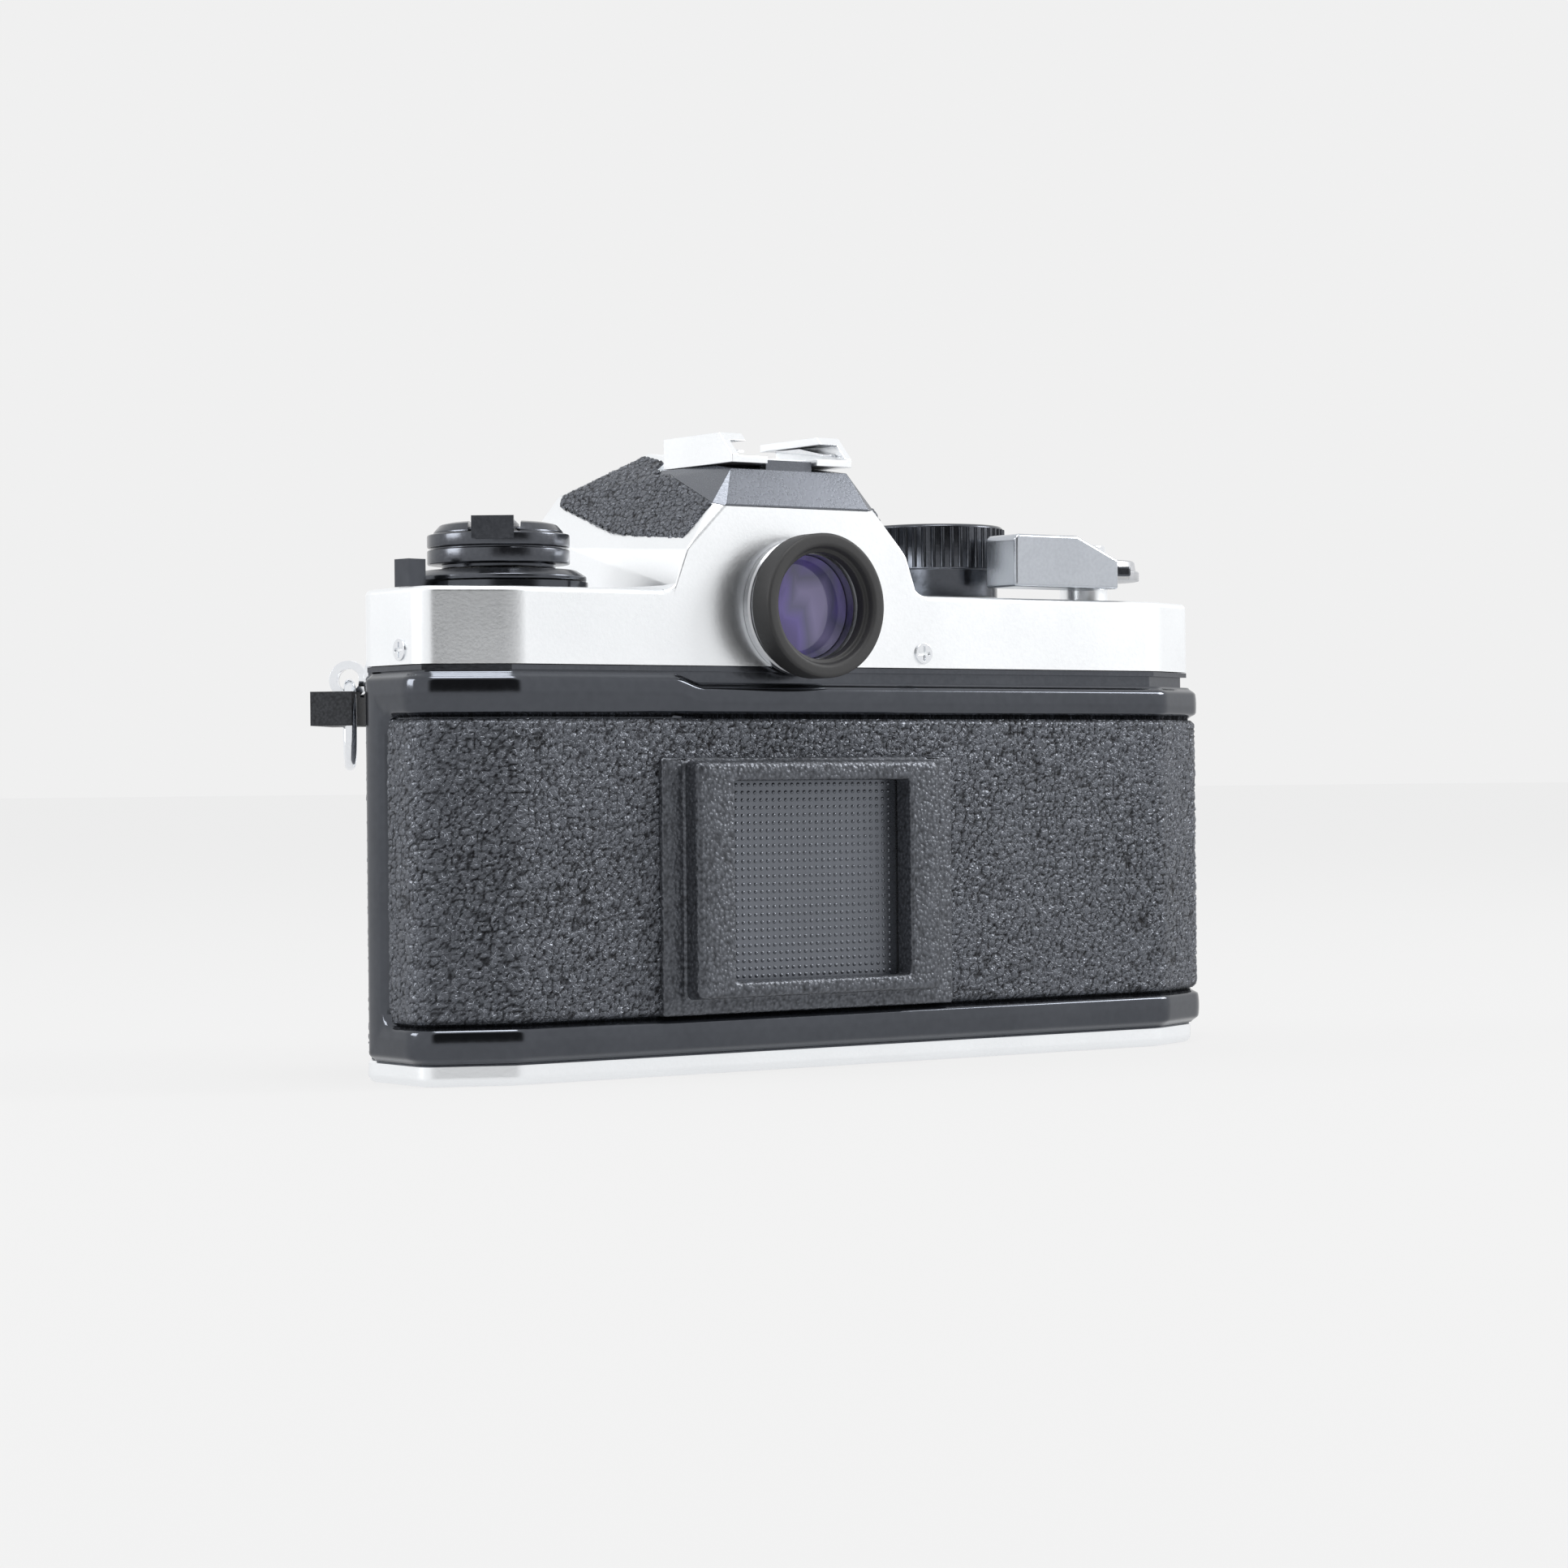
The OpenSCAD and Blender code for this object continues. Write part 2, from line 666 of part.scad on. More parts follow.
module rewind_knob() {
    color([0.07, 0.07, 0.075]) difference() {
        union() {
            post(knob_at, knob_r, [71.1, 73.1]);
            post(knob_at, knob_r - 0.7, [73, 73.4]);
            post(knob_at, knob_r, [73.3, 75.2]);
            post(knob_at, knob_r - 0.9, [75.1, 77]);
            post(knob_at, knob_r - 2, [70.5, 71.2]);
        }
        crank_frame() block([-20, 20], [-3.6, 3.6], [-0.75, 3]);
        crank_frame() rotate([90, 0, 0]) translate([0, 0, -5.2]) cylinder(r = 0.5, h = 10.4, $fn = fine);
        post(knob_at, 2.55, [70, 71.1]);
    }
}

module rewind_crank() {
    color([0.07, 0.07, 0.075]) crank_frame() union() {
        block([0, 11.1], [-2.9, 2.9], [-0.35, 0.75]);
        block([10.2, 11.1], [-2.9, 2.9], [-1.8, 1.3]);
        rotate([90, 0, 0]) translate([0, 0, -4.8]) cylinder(r = 0.45, h = 9.6, $fn = fine);
    }
}

module exposure_dial() {
    color([0.08, 0.08, 0.085]) difference() {
        union() {
            post(knob_at, 12.2, [68.7, 69.5]);
            post(knob_at, 11, [69.4, 70.2]);
        }
        post(knob_at, 3.75, [60, 80]);
    }
}

module door_lock_lever() {
    color([0.08, 0.08, 0.085]) difference() {
        union() {
            post(knob_at, 12.4, [67.6, 68.5]);
            translate(knob_at) rotate([0, 0, 9]) block([10, 17.4], [-1.5, 1.5], [67.6, 68.5]);
            translate(knob_at) rotate([0, 0, 9]) block([14.4, 17.4], [-1.5, 1.5], [67.6, 71.4]);
        }
        post(knob_at, 3.75, [60, 80]);
    }
}

module speed_dial() {
    color([0.07, 0.07, 0.075]) union() {
        difference() {
            post(dial_at, dial_r, [72.3, 79]);
            for (i = [0:dial_flutes - 1]) translate(dial_at) rotate([0, 0, i * 360 / dial_flutes])
                translate([dial_r + 0.15, 0, 72]) cylinder(r = 0.42, h = 8, $fn = 16);
        }
        post(dial_at, dial_r - 1.2, [68.2, 72.4]);
        post(dial_at, 3, [60, 68.3]);
    }
}

module advance_lever() {
    color([0.3, 0.3, 0.31]) difference() {
        union() {
            post(wind_at, 8.6, [71.2, 72.8]);
            post(wind_at, 7.9, [72.7, 74.3]);
            translate([wind_at[0], wind_at[1], 71.2]) linear_extrude(1.6)
                polygon([[-3, 7.9], [8.4, 0], [9, 9.5], [9, 14.5], [4, 15.8]]);
            post(wind_at, 2.5, [58, 71.3]);
        }
        post(wind_at, 3.5, [72, 80]);
    }
}

module lever_tip() {
    color([0.05, 0.05, 0.055]) difference() {
        translate([0, tip_y[1], 0]) rotate([90, 0, 0]) linear_extrude(tip_y[1] - tip_y[0]) polygon([
            [tip_x[0], 69.2], [tip_x[1], 69.2], [tip_x[1], 76.6], [tip_x[1] - 0.4, 77], [-52, 77],
            [tip_x[0], 73.6]]);
        block([-70, -58.4], [0, 20], [71.15, 72.85]);
    }
}

module shutter_button() {
    color([0.75, 0.75, 0.77]) difference() {
        post(wind_at, 3.4, [74.35, 76.8]);
        post(wind_at, 1.5, [74.9, 80]);
    }
}

module frame_counter() {
    color([0.85, 0.85, 0.85]) union() {
        post(counter_disc_at, 5, [64.5, 65.3]);
        post(counter_disc_at, 1.2, [60, 64.6]);
    }
}

module counter_window() {
    color([0.8, 0.85, 0.9, 0.5]) post(counter_at, 2.95, [deck_z - 1, deck_z]);
}

module take_up_spool() {
    color([0.1, 0.1, 0.1]) difference() {
        union() {
            post(wind_at, spool_r, [7, 50]);
            post(wind_at, 1.52, [4, 54]);
        }
        for (a = [0:60:359]) translate(wind_at) rotate([0, 0, a]) block([4.5, 9], [-0.6, 0.6], [14, 43]);
    }
}

module sprocket() {
    color([0.6, 0.6, 0.62]) union() {
        post(sprocket_at, 3.2, [6.9, 50]);
        post(sprocket_at, 1.52, [49, 55]);
        for (z = [14, 48]) {
            post(sprocket_at, 4.6, [z, z + 1.6]);
            for (a = [0:45:359]) translate(sprocket_at) rotate([0, 0, a + 22.5])
                block([4, 5.6], [-0.5, 0.5], [z + 0.3, z + 1.3]);
        }
    }
}

// Frames at the two strap eyelets: local x points out of the body, y along the front facet
module lug_frame() {
    translate(lug_at) rotate([0, 0, lug_n]) children();
}

module right_side() {
    translate([mid_x, 0, 0]) mirror([1, 0, 0]) translate([-mid_x, 0, 0]) children();
}

module lug_frames() {
    lug_frame() children();
    right_side() lug_frame() children();
}

module strap_lugs() {
    color([0.75, 0.75, 0.77]) lug_frames() difference() {
        union() {
            translate([-3.9, 0, 0]) rotate([0, 90, 0]) cylinder(r = 1.2, h = 2.4, $fn = fine);
            translate([-3.5, 0, 0]) rotate([0, 90, 0]) cylinder(r = 2.3, h = 1, $fn = fine);
            rotate([90, 0, 0]) translate([0, 0, -0.8]) cylinder(r = 2.7, h = 1.6, $fn = fine);
        }
        rotate([90, 0, 0]) translate([0, 0, -2]) cylinder(r = 1.6, h = 4, $fn = fine);
    }
}

module ring_loop(wire) {
    translate([0, 0, -ring_drop - ring_r]) rotate([0, 0, ring_turn]) rotate([0, 90, 0])
        rotate_extrude($fn = fine) translate([ring_r, 0]) circle(r = wire, $fn = 24);
}

module strap_ring() {
    color([0.75, 0.75, 0.77]) ring_loop(ring_wire);
}

module ring_guard() {
    color([0.06, 0.06, 0.06]) difference() {
        block([-1.8, 4], [-6.9, 6.9], [-6.4, -1.7]);
        ring_loop(ring_wire + 0.12);
        rotate([90, 0, 0]) translate([0, 0, -1.3]) cylinder(r = 3, h = 2.6, $fn = fine);
    }
}

module strap_ring_left() { lug_frame() strap_ring(); }
module strap_ring_right() { right_side() lug_frame() strap_ring(); }
module ring_guard_left() { lug_frame() ring_guard(); }
module ring_guard_right() { right_side() lug_frame() ring_guard(); }

body_casting();
front_leather();
front_standard();
mirror_box();
focusing_screen();
pentaprism();
reflex_mirror();
shutter_frame();
shutter_blade_1();
shutter_blade_2();
shutter_blade_3();
film_gate();
lens_mount_ring();
mount_screws();
lens_release_button();
depth_preview_lever();
self_timer_lever();
sync_socket();
top_cover();
prism_cap();
prism_leather();
accessory_shoe();
shoe_contact();
eyepiece_barrel();
eyepiece_ring();
eyepiece_lens();
body_screws();
base_plate();
tripod_bush();
battery_cap();
rewind_release_button();
motor_coupling();
back_door();
door_leather();
memo_frame();
memo_plate();
pressure_plate();
plate_spring();
hinge_pin();
light_seals();
shaft_collar();
rewind_shaft();
rewind_knob();
rewind_crank();
exposure_dial();
door_lock_lever();
speed_dial();
advance_lever();
lever_tip();
shutter_button();
frame_counter();
counter_window();
take_up_spool();
sprocket();
strap_lugs();
strap_ring_left();
strap_ring_right();
ring_guard_left();
ring_guard_right();
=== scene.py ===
# %% [markdown]
# # A 35 mm reflex camera body
# The moving frame of the camera is loaded first: every body, joint and size is already settled there.
# This notebook only dresses it. Each step names a real piece and says how it is made and why in that way.

# %% Load the frame
import json
import math
import bmesh
import bpy
import numpy as np
from mathutils import Matrix, Vector


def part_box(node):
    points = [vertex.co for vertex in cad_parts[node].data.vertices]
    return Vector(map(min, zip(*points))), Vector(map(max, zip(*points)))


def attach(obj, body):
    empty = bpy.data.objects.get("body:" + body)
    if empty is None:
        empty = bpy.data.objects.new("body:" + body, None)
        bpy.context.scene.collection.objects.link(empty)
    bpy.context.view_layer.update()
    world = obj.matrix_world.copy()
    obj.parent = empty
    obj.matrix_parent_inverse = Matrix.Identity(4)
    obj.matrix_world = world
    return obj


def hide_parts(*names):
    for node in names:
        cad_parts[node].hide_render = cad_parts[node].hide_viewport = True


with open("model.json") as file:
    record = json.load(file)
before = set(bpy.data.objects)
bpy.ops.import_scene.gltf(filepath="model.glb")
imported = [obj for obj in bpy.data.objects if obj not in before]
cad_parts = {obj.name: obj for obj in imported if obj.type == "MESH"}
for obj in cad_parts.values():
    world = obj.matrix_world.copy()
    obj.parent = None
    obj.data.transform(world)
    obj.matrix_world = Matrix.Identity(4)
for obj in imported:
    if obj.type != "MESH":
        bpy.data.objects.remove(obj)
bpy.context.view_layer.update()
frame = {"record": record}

MM = 0.001
ROOT = "camera"


def box_mm(node):
    """Lowest and highest corner of a frame node, in millimetres."""
    low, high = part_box(node)
    return np.array(low) / MM, np.array(high) / MM


# %% [markdown]
# ## Camera and studio
# A long lens at eye height with the base gives the calm, almost flat perspective of a catalogue picture.
# The studio is a white room: a bright world, one dark flag beside the lens so that satin metal shows its
# facets, and three large soft lights. A flag is better than less light: white things stay white.

# %% The camera
VIEW_YAW = 0.6272
VIEW_ROLL = -0.0098
VIEW_PITCH = 0.0005
FOCAL_MM, FILM_MM = 90.59, 36
EYE = Vector((0.32998, 0.46714, 0.04002))

forward = Vector((-math.sin(VIEW_YAW), -math.cos(VIEW_YAW), VIEW_PITCH)).normalized()
level = forward.cross(Vector((0, 0, 1))).normalized()
plumb = level.cross(forward)
right = level * math.cos(VIEW_ROLL) + plumb * math.sin(VIEW_ROLL)
up = plumb * math.cos(VIEW_ROLL) - level * math.sin(VIEW_ROLL)
lens = bpy.data.cameras.new("view")
lens.sensor_width = FILM_MM
lens.lens = FOCAL_MM
lens.clip_start = 0.01
viewer = bpy.data.objects.new("view", lens)
viewer.matrix_world = Matrix((
    (right.x, up.x, -forward.x, EYE.x),
    (right.y, up.y, -forward.y, EYE.y),
    (right.z, up.z, -forward.z, EYE.z),
    (0, 0, 0, 1)))
bpy.context.scene.collection.objects.link(viewer)
bpy.context.scene.camera = viewer
bpy.context.scene.view_settings.view_transform = "Standard"
print("camera at", tuple(round(c, 3) for c in EYE), "with a lens of", FOCAL_MM, "mm")


# %% Node helpers shared by the world and every finish
def add(tree, kind, inputs=None, **settings):
    """A new shader node with its settings and its input values or links."""
    node = tree.nodes.new(kind)
    for key, value in settings.items():
        setattr(node, key, value)
    for key, value in (inputs or {}).items():
        socket = node.inputs[key]
        if isinstance(value, bpy.types.NodeSocket):
            tree.links.new(value, socket)
        else:
            socket.default_value = value
    return node


def ramp(tree, factor, stops):
    """A colour ramp through (position, grey or colour) stops."""
    node = add(tree, "ShaderNodeValToRGB", {"Fac": factor})
    elements = node.color_ramp.elements
    while len(elements) < len(stops):
        elements.new(0.5)
    for element, (position, value) in zip(elements, stops):
        element.position = position
        element.color = (*([value] * 3 if isinstance(value, (int, float)) else value), 1)
    return node.outputs["Color"]


# %% The white room
ROOM_LIGHT = 0.95
BACKDROP = 0.872
FLAG_TOWARDS = Vector((0.20, 0.97, 0.12)).normalized()
FLAG_EDGE, FLAG_CORE = 0.80, 0.91

world = bpy.data.worlds.new("white_room")
world.use_nodes = True
room = world.node_tree
room.nodes.clear()
direction = add(room, "ShaderNodeTexCoord").outputs["Generated"]
facing_flag = add(room, "ShaderNodeVectorMath", {0: direction, 1: FLAG_TOWARDS}, operation="DOT_PRODUCT")
flag = ramp(room, facing_flag.outputs["Value"], [(FLAG_EDGE, ROOM_LIGHT), (FLAG_CORE, 0.05), (1.0, 0.03)])
lit = add(room, "ShaderNodeBackground", {"Color": flag, "Strength": 1.0})
seen = add(room, "ShaderNodeBackground", {"Color": (1, 1, 1, 1), "Strength": BACKDROP})
is_lens = add(room, "ShaderNodeLightPath").outputs["Is Camera Ray"]
shown = add(room, "ShaderNodeMixShader", {0: is_lens, 1: lit.outputs[0], 2: seen.outputs[0]})
add(room, "ShaderNodeOutputWorld", {"Surface": shown.outputs[0]})
bpy.context.scene.world = world

SOFTBOX = 0.45
MIDDLE = Vector((-0.01, 0, 0.045))


def soft_light(name, place, power):
    """A square area light aimed at the middle of the camera."""
    data = bpy.data.lights.new(name, "AREA")
    data.size = SOFTBOX
    data.energy = power
    lamp = bpy.data.objects.new(name, data)
    lamp.location = place
    aim = MIDDLE - lamp.location
    lamp.rotation_euler = aim.to_track_quat("-Z", "Y").to_euler()
    bpy.context.scene.collection.objects.link(lamp)


soft_light("key_right", (-1.0, 0.55, 0.60), 9)
soft_light("rim_left", (0.95, -0.35, 0.40), 5)
soft_light("top", (0.05, 0.30, 1.1), 6)

# %% The floor
FLOOR_HALF = 30.0
FLOOR_GREY = 0.06
FLOOR_GLOW = 0.79
floor_mesh = bpy.data.meshes.new("floor")
corners = [(x, y, 0) for x, y in ((-1, -1), (1, -1), (1, 1), (-1, 1))]
floor_mesh.from_pydata([Vector(c) * FLOOR_HALF for c in corners], [], [(0, 1, 2, 3)])
floor = bpy.data.objects.new("floor", floor_mesh)
bpy.context.scene.collection.objects.link(floor)
paper = bpy.data.materials.new("white_paper")
paper.use_nodes = True
tree = paper.node_tree
tree.nodes.clear()
matt = add(tree, "ShaderNodeBsdfDiffuse", {"Color": (FLOOR_GREY, FLOOR_GREY, FLOOR_GREY, 1)})
glow = add(tree, "ShaderNodeEmission", {"Color": (1, 1, 1, 1), "Strength": FLOOR_GLOW})
both = add(tree, "ShaderNodeAddShader", {0: matt.outputs[0], 1: glow.outputs[0]})
add(tree, "ShaderNodeOutputMaterial", {"Surface": both.outputs[0]})
floor_mesh.materials.append(paper)
print("studio: room, flag, three lights and a paper floor")

# %% [markdown]
# ## Finishes
# The camera has a short list of finishes: satin plate, bright chrome, steel, shiny and satin blacks, moulded
# plastic, leatherette, rubber and glass. Each is one Principled shader whose colour, roughness and bump come
# from noise in object coordinates, so the grain has a real size and stays put when a piece turns.

# %% A finish from noise
FINISH = {}


def new_finish(name):
    """An empty node material in the list of finishes, with its object coordinates."""
    material = bpy.data.materials.new(name)
    material.use_nodes = True
    tree = material.node_tree
    tree.nodes.clear()
    FINISH[name] = material
    return tree, add(tree, "ShaderNodeTexCoord").outputs["Object"]


def relief_of(tree, height, depth_mm):
    """A bump from a height between 0 and 1."""
    return add(tree, "ShaderNodeBump", {
        "Height": height, "Strength": 1.0, "Distance": depth_mm * MM}).outputs[0]


def principled(tree, **sockets):
    """The Principled shader with the given sockets, wired to the output."""
    shader = add(tree, "ShaderNodeBsdfPrincipled",
                 {key.replace("_", " "): value for key, value in sockets.items()})
    add(tree, "ShaderNodeOutputMaterial", {"Surface": shader.outputs[0]})


def finish(name, light, dark, rough, speckle, bump, **sockets):
    """Colour wanders from dark to light and roughness from low to high, over a fine bump in millimetres."""
    tree, place = new_finish(name)
    broad = add(tree, "ShaderNodeTexNoise", {"Vector": place, "Scale": 70.0, "Detail": 3.0})
    grain = add(tree, "ShaderNodeTexNoise", {"Vector": place, "Scale": speckle, "Detail": 2.0})
    both = add(tree, "ShaderNodeMix", {"Factor": 0.5, "A": broad.outputs[0], "B": grain.outputs[0]})
    colour = ramp(tree, both.outputs[0], [(0.3, dark), (0.7, light)])
    gloss = add(tree, "ShaderNodeMapRange", {
        "Value": both.outputs[0], "From Min": 0.3, "From Max": 0.7, "To Min": rough[0], "To Max": rough[1]})
    principled(tree, Base_Color=colour, Roughness=gloss.outputs[0],
               Normal=relief_of(tree, grain.outputs[0], bump),
               **sockets)


finish("satin_silver", (0.93, 0.95, 0.97), (0.89, 0.91, 0.93), (0.27, 0.34), 2600.0, 0.010, Metallic=1.0)
finish("bright_metal", (0.86, 0.88, 0.91), (0.78, 0.80, 0.83), (0.10, 0.20), 1500.0, 0.004, Metallic=1.0)
finish("steel", (0.52, 0.53, 0.55), (0.44, 0.45, 0.47), (0.25, 0.40), 1200.0, 0.008, Metallic=1.0)
finish("gloss_black", (0.085, 0.091, 0.104), (0.070, 0.075, 0.086), (0.10, 0.16), 900.0, 0.003, Metallic=0.95)
finish("black_paint", (0.100, 0.106, 0.120), (0.070, 0.075, 0.086), (0.16, 0.26), 1800.0, 0.008,
       Metallic=0.95)
finish("black_plastic", (0.052, 0.056, 0.065), (0.036, 0.039, 0.046), (0.34, 0.46), 2200.0, 0.030,
       Metallic=0.6)
finish("cap_plastic", (0.150, 0.160, 0.182), (0.130, 0.139, 0.158), (0.24, 0.32), 2600.0, 0.010,
       Metallic=0.85)
# Painted reflection: the black lever tip is coloured light grey all round to stand for the light its rear face
# reflects.
finish("lever_tip_painted_reflection", (0.520, 0.548, 0.590), (0.460, 0.486, 0.528), (0.18, 0.26), 2200.0, 0.006,
       Metallic=0.95)
finish("rubber", (0.022, 0.022, 0.023), (0.014, 0.014, 0.015), (0.50, 0.66), 2400.0, 0.015)
finish("mirror", (0.90, 0.91, 0.92), (0.88, 0.89, 0.90), (0.02, 0.04), 500.0, 0.0005, Metallic=1.0)
finish("foam", (0.018, 0.018, 0.018), (0.010, 0.010, 0.010), (0.85, 0.95), 3000.0, 0.08)
finish("glass", (0.92, 0.95, 1.0), (0.88, 0.91, 0.98), (0.02, 0.05), 500.0, 0.0005, Transmission_Weight=0.9,
       IOR=1.5)
print("finishes:", ", ".join(sorted(FINISH)))


# %% [markdown]
# ### Leatherette
# The grain is real geometry, so its colour has to know where the creases are. The mesh carries a number
# called "grain", 0 in a crease and 1 on a pebble, and the shader paints shade into the creases and dulls
# them by it. Wrinkles and pores finer than the mesh are a bump.

# %% The leatherette finish
def leather_finish():
    """Black leatherette: creases carry painted shade and are dull, pebbles shine softly and carry wrinkles and
    pores.
    """
    tree, place = new_finish("leatherette")
    height = add(tree, "ShaderNodeAttribute", attribute_name="grain").outputs["Fac"]
    pores = add(tree, "ShaderNodeTexNoise", {"Vector": place, "Scale": 2500.0, "Detail": 3.0})
    cloud = add(tree, "ShaderNodeTexNoise", {"Vector": place, "Scale": 60.0, "Detail": 2.0})
    mixed = add(tree, "ShaderNodeMix", {"Factor": 0.25, "A": height, "B": cloud.outputs[0]})
    # Painted shade: the creases are coloured near black, the pebble tops full leather colour.
    colour = ramp(tree, mixed.outputs[0], [
        (0.14, (0.002, 0.002, 0.003)), (0.30, (0.040, 0.043, 0.050)), (0.50, (0.112, 0.120, 0.138))])
    gloss = add(tree, "ShaderNodeMapRange", {"Value": height, "To Min": 0.60, "To Max": 0.22})
    wrinkle = add(tree, "ShaderNodeTexVoronoi", {"Vector": place, "Scale": 1500.0},
                  feature="DISTANCE_TO_EDGE")
    shallow = add(tree, "ShaderNodeMapRange", {"Value": wrinkle.outputs[0], "From Max": 0.14})
    both = add(tree, "ShaderNodeMix", {"Factor": 0.35, "A": shallow.outputs[0], "B": pores.outputs[0]})
    principled(tree, Base_Color=colour, Roughness=gloss.outputs[0], Metallic=0.7,
               Normal=relief_of(tree, both.outputs[0], 0.13))


leather_finish()
print("leatherette reads the mesh attribute 'grain'")

# %% [markdown]
# ## Mesh helpers
# Most pieces are turned, pressed or cast. A turned piece is a lathe profile, a pressed one is a surface laid
# along the body's outline, and a cast one is a few solids joined by booleans whose edges are then rounded.
# Working in millimetres and scaling once, in one place, keeps the numbers readable.


# %% From points to a finished piece
def mesh_piece(name, points, faces, sharp=35):
    """A new object from points in millimetres; edges sharper than the given angle stay crisp."""
    mesh = bpy.data.meshes.new(name)
    mesh.from_pydata((np.asarray(points, dtype=float) * MM).tolist(), [], [tuple(f) for f in faces])
    mesh.validate()
    obj = bpy.data.objects.new(name, mesh)
    bpy.context.scene.collection.objects.link(obj)
    tidy(obj)
    shade(obj, sharp)
    return obj


def tidy(obj, weld=0.0004):
    """Merges points closer than weld millimetres, drops loose edges and turns the faces outwards."""
    bm = bmesh.new()
    bm.from_mesh(obj.data)
    bmesh.ops.remove_doubles(bm, verts=bm.verts, dist=weld * MM)
    bmesh.ops.delete(bm, geom=[edge for edge in bm.edges if not edge.link_faces], context="EDGES")
    bmesh.ops.recalc_face_normals(bm, faces=bm.faces)
    bm.to_mesh(obj.data)
    bm.free()


def shade(obj, sharp=35):
    """Smooth shading, with edges sharper than the given angle kept crisp."""
    obj.data.shade_smooth()
    obj.data.set_sharp_from_angle(angle=math.radians(sharp))


def settle(obj):
    """Turns the modifiers' result into the object's plain mesh."""
    graph = bpy.context.evaluated_depsgraph_get()
    graph.update()
    mesh = bpy.data.meshes.new_from_object(obj.evaluated_get(graph), depsgraph=graph)
    obj.modifiers.clear()
    old = obj.data
    obj.data = mesh
    bpy.data.meshes.remove(old)
    return obj


def even_normals(obj):
    """Normals weighted by face area, so that flat faces stay flat beside their rounds."""
    even = obj.modifiers.new("even", "WEIGHTED_NORMAL")
    even.keep_sharp = True
    return settle(obj)


def soften(obj, width, segments=3, angle=30):
    """Rounds the edges sharper than angle by width in millimetres and evens the normals."""
    bevel = obj.modifiers.new("round", "BEVEL")
    bevel.width = width * MM
    bevel.segments = segments
    bevel.limit_method = "ANGLE"
    bevel.angle_limit = math.radians(angle)
    bevel.miter_outer = "MITER_ARC"
    bevel.use_clamp_overlap = True
    settle(obj)
    obj.data.shade_smooth()
    return even_normals(obj)


def combine(obj, other, how="DIFFERENCE"):
    """A boolean of obj with other; other is used up."""
    step = obj.modifiers.new(how.lower(), "BOOLEAN")
    step.operation = how
    step.solver = "EXACT"
    step.object = other
    settle(obj)
    tidy(obj, 0.004)
    bpy.data.objects.remove(other, do_unlink=True)
    return obj


def dress(obj, body, slot, *nodes, look=None):
    """Gives a piece the finish of its look, or else of its slot, puts it on its body and hides the frame nodes
    it stands for.
    """
    obj.data.materials.clear()
    obj.data.materials.append(FINISH[look or slot])
    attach(obj, body)
    if nodes:
        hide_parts(*nodes)
    print(f"{obj.name}: {len(obj.data.polygons)} faces on {body}")
    return obj


# %% Solids: extrusions, boxes, hulls and turned pieces
def placed(name, bm):
    """A new object that takes over a bmesh."""
    mesh = bpy.data.meshes.new(name)
    bm.to_mesh(mesh)
    bm.free()
    obj = bpy.data.objects.new(name, mesh)
    bpy.context.scene.collection.objects.link(obj)
    return obj


def extrude(name, outline, low, high, axis="Z"):
    """A closed prism over an outline in millimetres. axis X reads (y, z), Y reads (x, z), Z reads (x, y)."""
    lay = {"X": lambda a, b, h: (h, a, b), "Y": lambda a, b, h: (a, h, b),
           "Z": lambda a, b, h: (a, b, h)}[axis]
    n = len(outline)
    points = [lay(a, b, h) for h in (low, high) for a, b in outline]
    sides = [(i, (i + 1) % n, n + (i + 1) % n, n + i) for i in range(n)]
    return mesh_piece(name, points, [tuple(range(n)), tuple(range(2 * n - 1, n - 1, -1)), *sides])


def slab(name, low, high):
    """A box between two corners."""
    return extrude(name, [(low[0], low[1]), (high[0], low[1]), (high[0], high[1]), (low[0], high[1])],
                   low[2], high[2])


def hull(name, points):
    """The convex solid round a set of points, with its flat faces merged."""
    bm = bmesh.new()
    for p in points:
        bm.verts.new(Vector(p) * MM)
    result = bmesh.ops.convex_hull(bm, input=bm.verts)
    spare = {g for g in result["geom_interior"] + result["geom_unused"] if isinstance(g, bmesh.types.BMVert)}
    bmesh.ops.delete(bm, geom=list(spare), context="VERTS")
    bmesh.ops.dissolve_limit(bm, angle_limit=math.radians(1.5), verts=bm.verts, edges=bm.edges)
    return placed(name, bm)


def turned(name, profile, centre, axis="Z", steps=128, sharp=30):
    """A closed ring or solid of revolution from (radius, height) pairs, heights along the axis."""
    points, faces = [], []
    n = len(profile)
    for i in range(steps):
        c, s = math.cos(2 * math.pi * i / steps), math.sin(2 * math.pi * i / steps)
        for r, h in profile:
            points.append((centre[0] + r * c, centre[1] + r * s, h) if axis == "Z" else
                          (centre[0] + r * c, h, centre[1] + r * s))
        for k in range(n):
            a, b = i * n + k, i * n + (k + 1) % n
            faces.append((a, b, (b + n) % (steps * n), (a + n) % (steps * n)))
    return mesh_piece(name, points, faces, sharp)


def round_profile(profile, radius, steps=4):
    """The same closed profile with its corners rounded."""
    out = []
    n = len(profile)
    for i in range(n):
        before, here, after = (Vector(profile[(i + k) % n]) for k in (-1, 0, 1))
        a, b = before - here, after - here
        cut = min(radius, 0.45 * a.length, 0.45 * b.length)
        if cut < 1e-6 or here.x < 1e-6:
            out.append(tuple(here))
            continue
        start, end = here + a.normalized() * cut, here + b.normalized() * cut
        for k in range(steps + 1):
            t = k / steps
            out.append(tuple((1 - t) ** 2 * start + 2 * t * (1 - t) * here + t * t * end))
    return out


# %% [markdown]
# ## The outline that everything follows
# Seen from above the camera is a long box with its four corners cut off. Cover, base, door and leather all
# follow this one outline at different distances, so it is worked out once, as a path with outward normals.

# %% The outline path
base_low, base_high = box_mm("base_plate")
LEFT, RIGHT = base_high[0], base_low[0]
REAR, FRONT = base_high[1], base_low[1]
